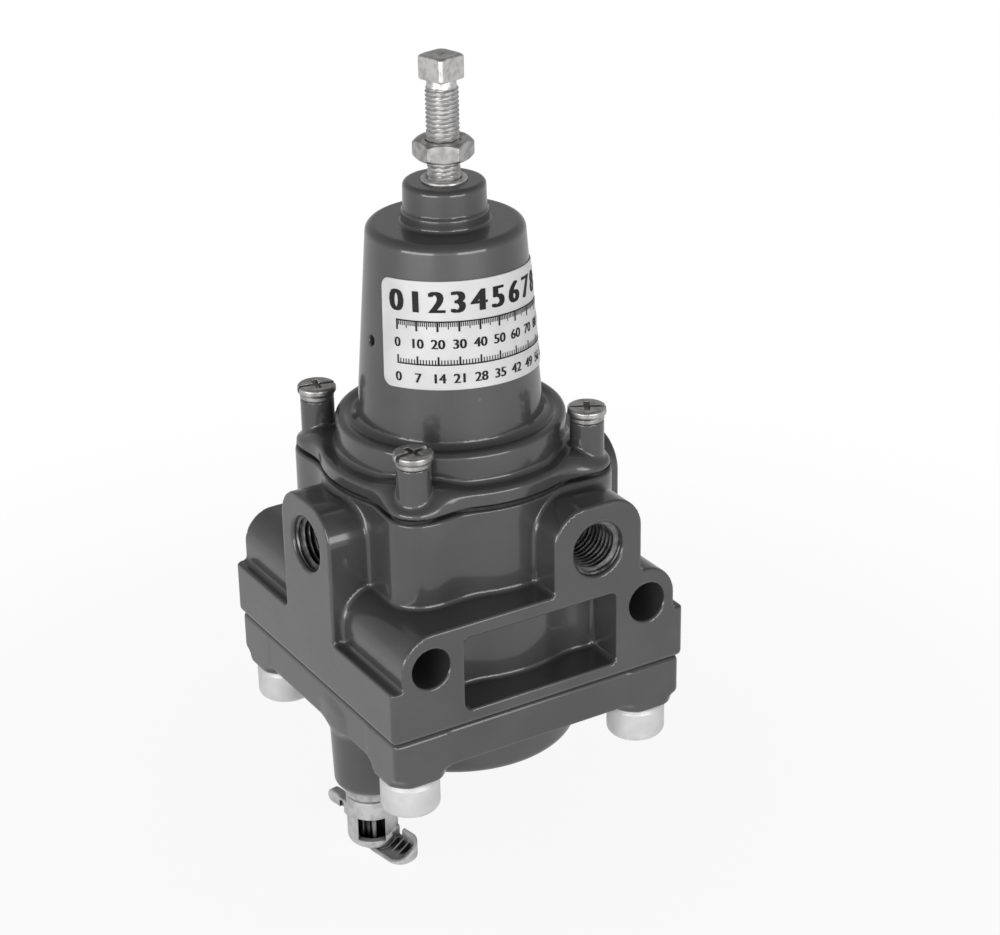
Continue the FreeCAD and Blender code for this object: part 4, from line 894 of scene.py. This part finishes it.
def drain_cap_field(x, y, z):
    """Distance to the drain cap, with the scoop along x; heights are from the collar's face."""
    out = np.hypot(x, y)
    solid = meet(meet(out - SLEEVE_RADIUS, z - CAP_TOP, 0.5), CAP_BOTTOM - z, 2.4)
    solid = join(solid, meet(out - 2.6, TIP_BOTTOM - z, 0.4), 0.8)
    rim = (z + 13.4 - RIM_SLOPE * y) / math.hypot(1, RIM_SLOPE)
    scoop = meet(meet(oblong(x - 8.6, y + 0.6, SCOOP_REACH, 4.2, 3.9), rim, 0.35), CAP_BOTTOM - z, 1.3)
    solid = join(solid, scoop, 0.6)
    ribs = np.maximum(np.abs((x - 8.0) % RIB_PITCH - RIB_PITCH / 2) - 0.3, rim + 1.7)
    pocket = np.maximum(np.maximum(oblong(x - 8.8, y + 0.6, 6.2, 3.2, 2.9), -16.0 - z), 7.0 - out)
    solid = cut(solid, np.maximum(pocket, -ribs), 0.15)
    notch = np.maximum(np.maximum(np.abs(x - 7.4) - 0.9, 1.0 - y), -14.2 - z)
    solid = cut(solid, notch, 0.2)
    bar = np.maximum(band(z, -12.4 - 0.46 * (13.0 + x), -9.9), np.maximum(-x - 14.0, 4.0 + x))
    bar = join(bar, oblong(-x - 14.4, z + 11.0, 2.4, 1.8, 1.7), 0.8)
    solid = join(solid, meet(bar, np.abs(y) - 1.4, 0.6), 0.8)
    solid = cut(solid, np.maximum(oblong(-x - 11.0, z + 12.0, 0.9, 1.5, 0.8), y + 0.4), 0.25)
    bore = np.maximum(out - 4.6, -16.3 - z)
    across = -x * math.sin(WINDOW_TURN) + y * math.cos(WINDOW_TURN)
    window = np.maximum(np.abs(across) - WINDOW_HALF, band(z, -14.1, -7.9))
    return cut(solid, np.minimum(bore, np.maximum(window, 3.0 - out)), 0.25)


grey_cast = Finish("grey_cast", Metallic=0.25, Specular_IOR_Level=0.4)
cast_grain = grey_cast.noise(0.6, 3)
soot = grey_cast.noise(3.0, 3)
cap_light = grey_cast.openness(6, only_local=True)
# Painted shade: the scoop, the windows and the other hollows of the cap darken towards near black, mottled
# by noise, and are made rougher.
painted_hollow_shade = (1 - cap_light.between(0.45, 0.85)) * (0.85 + soot * 0.6)
cast_colour = grey_cast.blend(soot.between(0.4, 0.7), tint(200), tint(176))
grey_cast.feed(Base_Color=grey_cast.blend(painted_hollow_shade, cast_colour, tint(52)),
               Roughness=0.34 + cast_grain * 0.22 + painted_hollow_shade * 0.3,
               Normal=grey_cast.bump(cast_grain, 0.03, 0.5))
cap_skin = skin(drain_cap_field, (-16.8, -6.4, TIP_BOTTOM), (15.8, 6.4, CAP_TOP), 0.25)
make_piece("winged_cap", [moved(cap_skin, about_z(CAP_TURN), (DRAIN_X, DRAIN_Y, CAP_JOINT))],
           grey_cast, "drain_wing_cap", ["drain_cap"])


# Pieces inside. The plates, the valve, the seals and the filter keep their own solids and get the
# finishes of the real ones: pressed steel, turned brass, moulded rubber and sintered media.

rubber = Finish("black_rubber", Specular_IOR_Level=0.3)
bloom = rubber.noise(3, 3)
fabric = rubber.noise(0.4, 2)
rubber.feed(Base_Color=rubber.blend(bloom.between(0.4, 0.8), tint(48), tint(66)),
            Roughness=0.6 + bloom * 0.2, Normal=rubber.bump(fabric, 0.04, 0.6))
brass = Finish("turned_brass", Metallic=1.0)
tarnish = brass.noise(2.5, 3)
turning = brass.noise(0.2, 1, (0.2, 0.2, 1))
brass_colour = brass.blend(tarnish.between(0.35, 0.75), (0.62, 0.42, 0.16, 1), (0.36, 0.22, 0.08, 1))
brass.feed(Base_Color=brass_colour, Roughness=0.24 + tarnish * 0.2 + turning * 0.08,
           Normal=brass.bump(turning, 0.015, 0.5))
media = Finish("filter_media", Specular_IOR_Level=0.3)
beads = media.node("ShaderNodeTexVoronoi", {}, {"Vector": media.place, "Scale": 1400.0})
dirt = media.noise(6, 3)
media.feed(Base_Color=media.blend(dirt.between(0.4, 0.8), tint(222, 0.02), tint(186, 0.08)),
           Roughness=0.75 + beads * 0.15, Normal=media.bump(beads, 0.2, 0.8))
for finish, members in (
        (rubber, ["valve_disc", "filter_gasket_upper", "filter_gasket_lower", "cover_seal",
                  "drain_seal"]),
        (brass, ["valve_seat", "supply_valve", "relief_seat_stud", "valve_guide", "aspirator_tube"]),
        (zinc, ["diaphragm_plate_lower", "diaphragm_plate_upper", "diaphragm_nut", "filter_retainer",
                "filter_nut", "upper_spring_seat"]),
        (media, ["filter_element"])):
    for member in members:
        nodes[member].data.materials.clear()
        nodes[member].data.materials.append(finish.material)


# Springs. Cold-wound steel wire with closed and ground ends.

wire = Finish("spring_wire", Metallic=1.0)
scale = wire.noise(1.2, 3, (1, 1, 2))
drawn = wire.noise(0.25, 1)
wire.feed(Base_Color=wire.blend(scale.between(0.35, 0.7), tint(150, 0.01), tint(96, 0.04)),
          Roughness=0.3 + scale * 0.2, Normal=wire.bump(drawn, 0.01, 0.5))


def wound(radius, wire_size, turns, low, high, around=14, steps=40):
    """A coil of wire between two heights, with one closed turn at each end."""
    turn = np.linspace(0, turns, int(turns * steps))
    open_turns = np.clip((turn - 1) / (turns - 2), 0, 1)
    closed_turns = wire_size * (np.minimum(turn, 1) + np.maximum(turn - turns + 1, 0)) * 0.5
    height = low + wire_size * 0.5 + closed_turns + open_turns * (high - low - wire_size * 2)
    section = angles(around)
    thick = wire_size / 2 * np.minimum(1, np.minimum(turn, turns - turn) * 6 + 0.02)
    rings = []
    for a, h, t in zip(turn * 2 * math.pi, height, thick):
        reach = radius + t * np.cos(section)
        level = np.clip(h + t * np.sin(section), low, high)
        rings.append(np.stack([reach * np.cos(a), reach * np.sin(a), level], 1))
    return wrap(rings)


for name, node, top_body, radius, wire_size, turns in (
        ("wound_range_spring", "range_spring", "spring_seat", 11.6, 2.4, 6.0),
        ("wound_valve_spring", "valve_spring", "valve", 4.1, 0.5, 2.5)):
    low, high = (np.array(corner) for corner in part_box(node))
    coil = wound(radius, wire_size, turns, low[2] * 1000 - MAIN_AXIS[2], high[2] * 1000 - MAIN_AXIS[2])
    spring = make_piece(name, [coil], wire, None, [node])
    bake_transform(spring)


# Diaphragm. Moulded rubber on fabric, with one convolution, its rim clamped between body and bonnet. It is
# made in eight sectors.

SECTOR = 45

for sector in range(8):
    leaf = bmesh.new()
    leaf.from_mesh(nodes["diaphragm"].data)
    for side, edge_angle in ((-1, sector * SECTOR), (1, sector * SECTOR + SECTOR)):
        edge_angle = math.radians(edge_angle)
        across = (-side * math.sin(edge_angle), side * math.cos(edge_angle), 0)
        everything = leaf.verts[:] + leaf.edges[:] + leaf.faces[:]
        bmesh.ops.bisect_plane(leaf, geom=everything, plane_co=(0, -0.04125, 0), plane_no=across,
                               clear_outer=True)
    leaf_mesh = bpy.data.meshes.new("diaphragm_sector")
    leaf.to_mesh(leaf_mesh)
    leaf.free()
    leaf_mesh.materials.clear()
    leaf_mesh.materials.append(rubber.material)
    leaf_piece = show(f"diaphragm_sector_{sector + 1}", leaf_mesh)
    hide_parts("diaphragm")
    out_x, out_y = (f(math.radians(sector * SECTOR + SECTOR / 2)) for f in (math.cos, math.sin))
    0.0215 * out_x
    0.0215 * out_y - 0.04125
    0.0170 * out_x
    0.0170 * out_y - 0.04125
    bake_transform(leaf_piece)


# Studio. A pale floor just below the drain cap, white to the camera but for the object's soft shadow.
# A soft lamp stands at the left, one in front and a weak one between them. The surround is white to
# the camera; to the object it is softer, and brighter at the horizon than overhead.

LOWEST = (-47.0 + MAIN_AXIS[2]) * 0.001
FLOOR_HALF = 4
FLOOR_GLOW = 0.45
CAMERA_GLOW = 0.46
FAR_GLOW = 0.09
MIDDLE = (0.0, -0.041, 0.03)
HORIZON = -0.1
OVERHEAD = 0.9
HORIZON_LIGHT = 0.52
OVERHEAD_LIGHT = 0.2

floor_mesh = bpy.data.meshes.new("floor")
floor_mesh.from_pydata([(side * FLOOR_HALF, front * FLOOR_HALF, LOWEST)
                        for side, front in ((-1, -1), (1, -1), (1, 1), (-1, 1))], [], [(0, 1, 2, 3)])
floor = show("floor", floor_mesh)
paper = Finish("floor_paper", Roughness=0.8, Specular_IOR_Level=0.1, Base_Color=(0.9, 0.9, 0.9, 1))
seen_by_camera = paper.node("ShaderNodeLightPath", {}, {}, "Is Camera Ray")
away = paper.node("ShaderNodeVectorMath", {"operation": "DISTANCE"},
                  {0: paper.place, 1: (0, -0.041, LOWEST)}, "Value")
glow = paper.node("ShaderNodeEmission", {}, {"Color": (1, 1, 1, 1), "Strength": 1.0})
glow_share = FLOOR_GLOW + seen_by_camera * (CAMERA_GLOW + away.between(0.05, 0.3) * FAR_GLOW)
mixed = paper.node("ShaderNodeMixShader", {}, {0: glow_share, 1: Signal(paper, paper.shader.outputs[0]),
                                               2: glow})
paper.tree.links.new(mixed.socket, paper.tree.nodes["Material Output"].inputs["Surface"])
floor_mesh.materials.append(paper.material)


def lamp(name, place, aim, wide, tall, power):
    """A soft lamp turned towards a point; the camera doesn't see it."""
    light = bpy.data.lights.new(name, "AREA")
    light.shape = "RECTANGLE"
    light.size = wide
    light.size_y = tall
    light.energy = power
    thing = show(name, light)
    back = np.array(place, float) - np.array(aim, float)
    back /= np.linalg.norm(back)
    right = np.cross((0, 0, 1), back)
    right /= np.linalg.norm(right)
    up = np.cross(back, right)
    thing.matrix_world = Matrix([(right[i], up[i], back[i], place[i]) for i in range(3)] + [(0, 0, 0, 1)])
    thing.visible_camera = False


lamp("left_lamp", (-0.88, -0.36, 0.02), MIDDLE, 0.8, 0.42, 4.5)
lamp("front_lamp", (0.11, -1.1, 0.08), MIDDLE, 0.8, 0.42, 3.9)
lamp("fill_lamp", (-0.45, -0.95, 0.0), MIDDLE, 1.0, 0.6, 1.5)

world = bpy.data.worlds.new("surround")
bpy.context.scene.world = world
world.use_nodes = True
sky = world.node_tree
sky.nodes.clear()
seen, soft, choice, ray, place, apart, fall, outlet = (sky.nodes.new("ShaderNode" + kind) for kind in (
    "Background", "Background", "MixShader", "LightPath", "TexCoord", "SeparateXYZ", "MapRange",
    "OutputWorld"))
seen.inputs["Color"].default_value = (1, 1, 1, 1)
seen.inputs["Strength"].default_value = 1.0
soft.inputs["Color"].default_value = (1, 1, 1, 1)
for index, value in enumerate((HORIZON, OVERHEAD, HORIZON_LIGHT, OVERHEAD_LIGHT), start=1):
    fall.inputs[index].default_value = value
for start, end in ((place.outputs["Generated"], apart.inputs[0]), (apart.outputs["Z"], fall.inputs[0]),
                   (fall.outputs[0], soft.inputs["Strength"]),
                   (ray.outputs["Is Camera Ray"], choice.inputs[0]), (soft.outputs[0], choice.inputs[1]),
                   (seen.outputs[0], choice.inputs[2]), (choice.outputs[0], outlet.inputs["Surface"])):
    sky.links.new(start, end)


# Camera. Its place and aim were fitted to the photograph's edges: from the front left, 25 degrees
# above the level, 0.64 m away.

RIGHT = (0.85330793, -0.52114156, -0.01664499)
UP = (0.23290376, 0.3524024, 0.9064041)
BACK = (-0.46649911, -0.77731849, 0.42208359)
EYE = (np.array((-281.034, -491.333, 309.403)) + MAIN_AXIS) * 0.001

view = bpy.data.cameras.new("photo_camera")
view.sensor_fit = "HORIZONTAL"
view.sensor_width = 36.0
view.lens = 91.034
view.clip_start = 0.01
view.clip_end = 20.0
camera = show("photo_camera", view)
camera.matrix_world = Matrix([(RIGHT[i], UP[i], BACK[i], EYE[i]) for i in range(3)] + [(0, 0, 0, 1)])
bpy.context.scene.camera = camera
bpy.context.scene.view_settings.view_transform = "Standard"
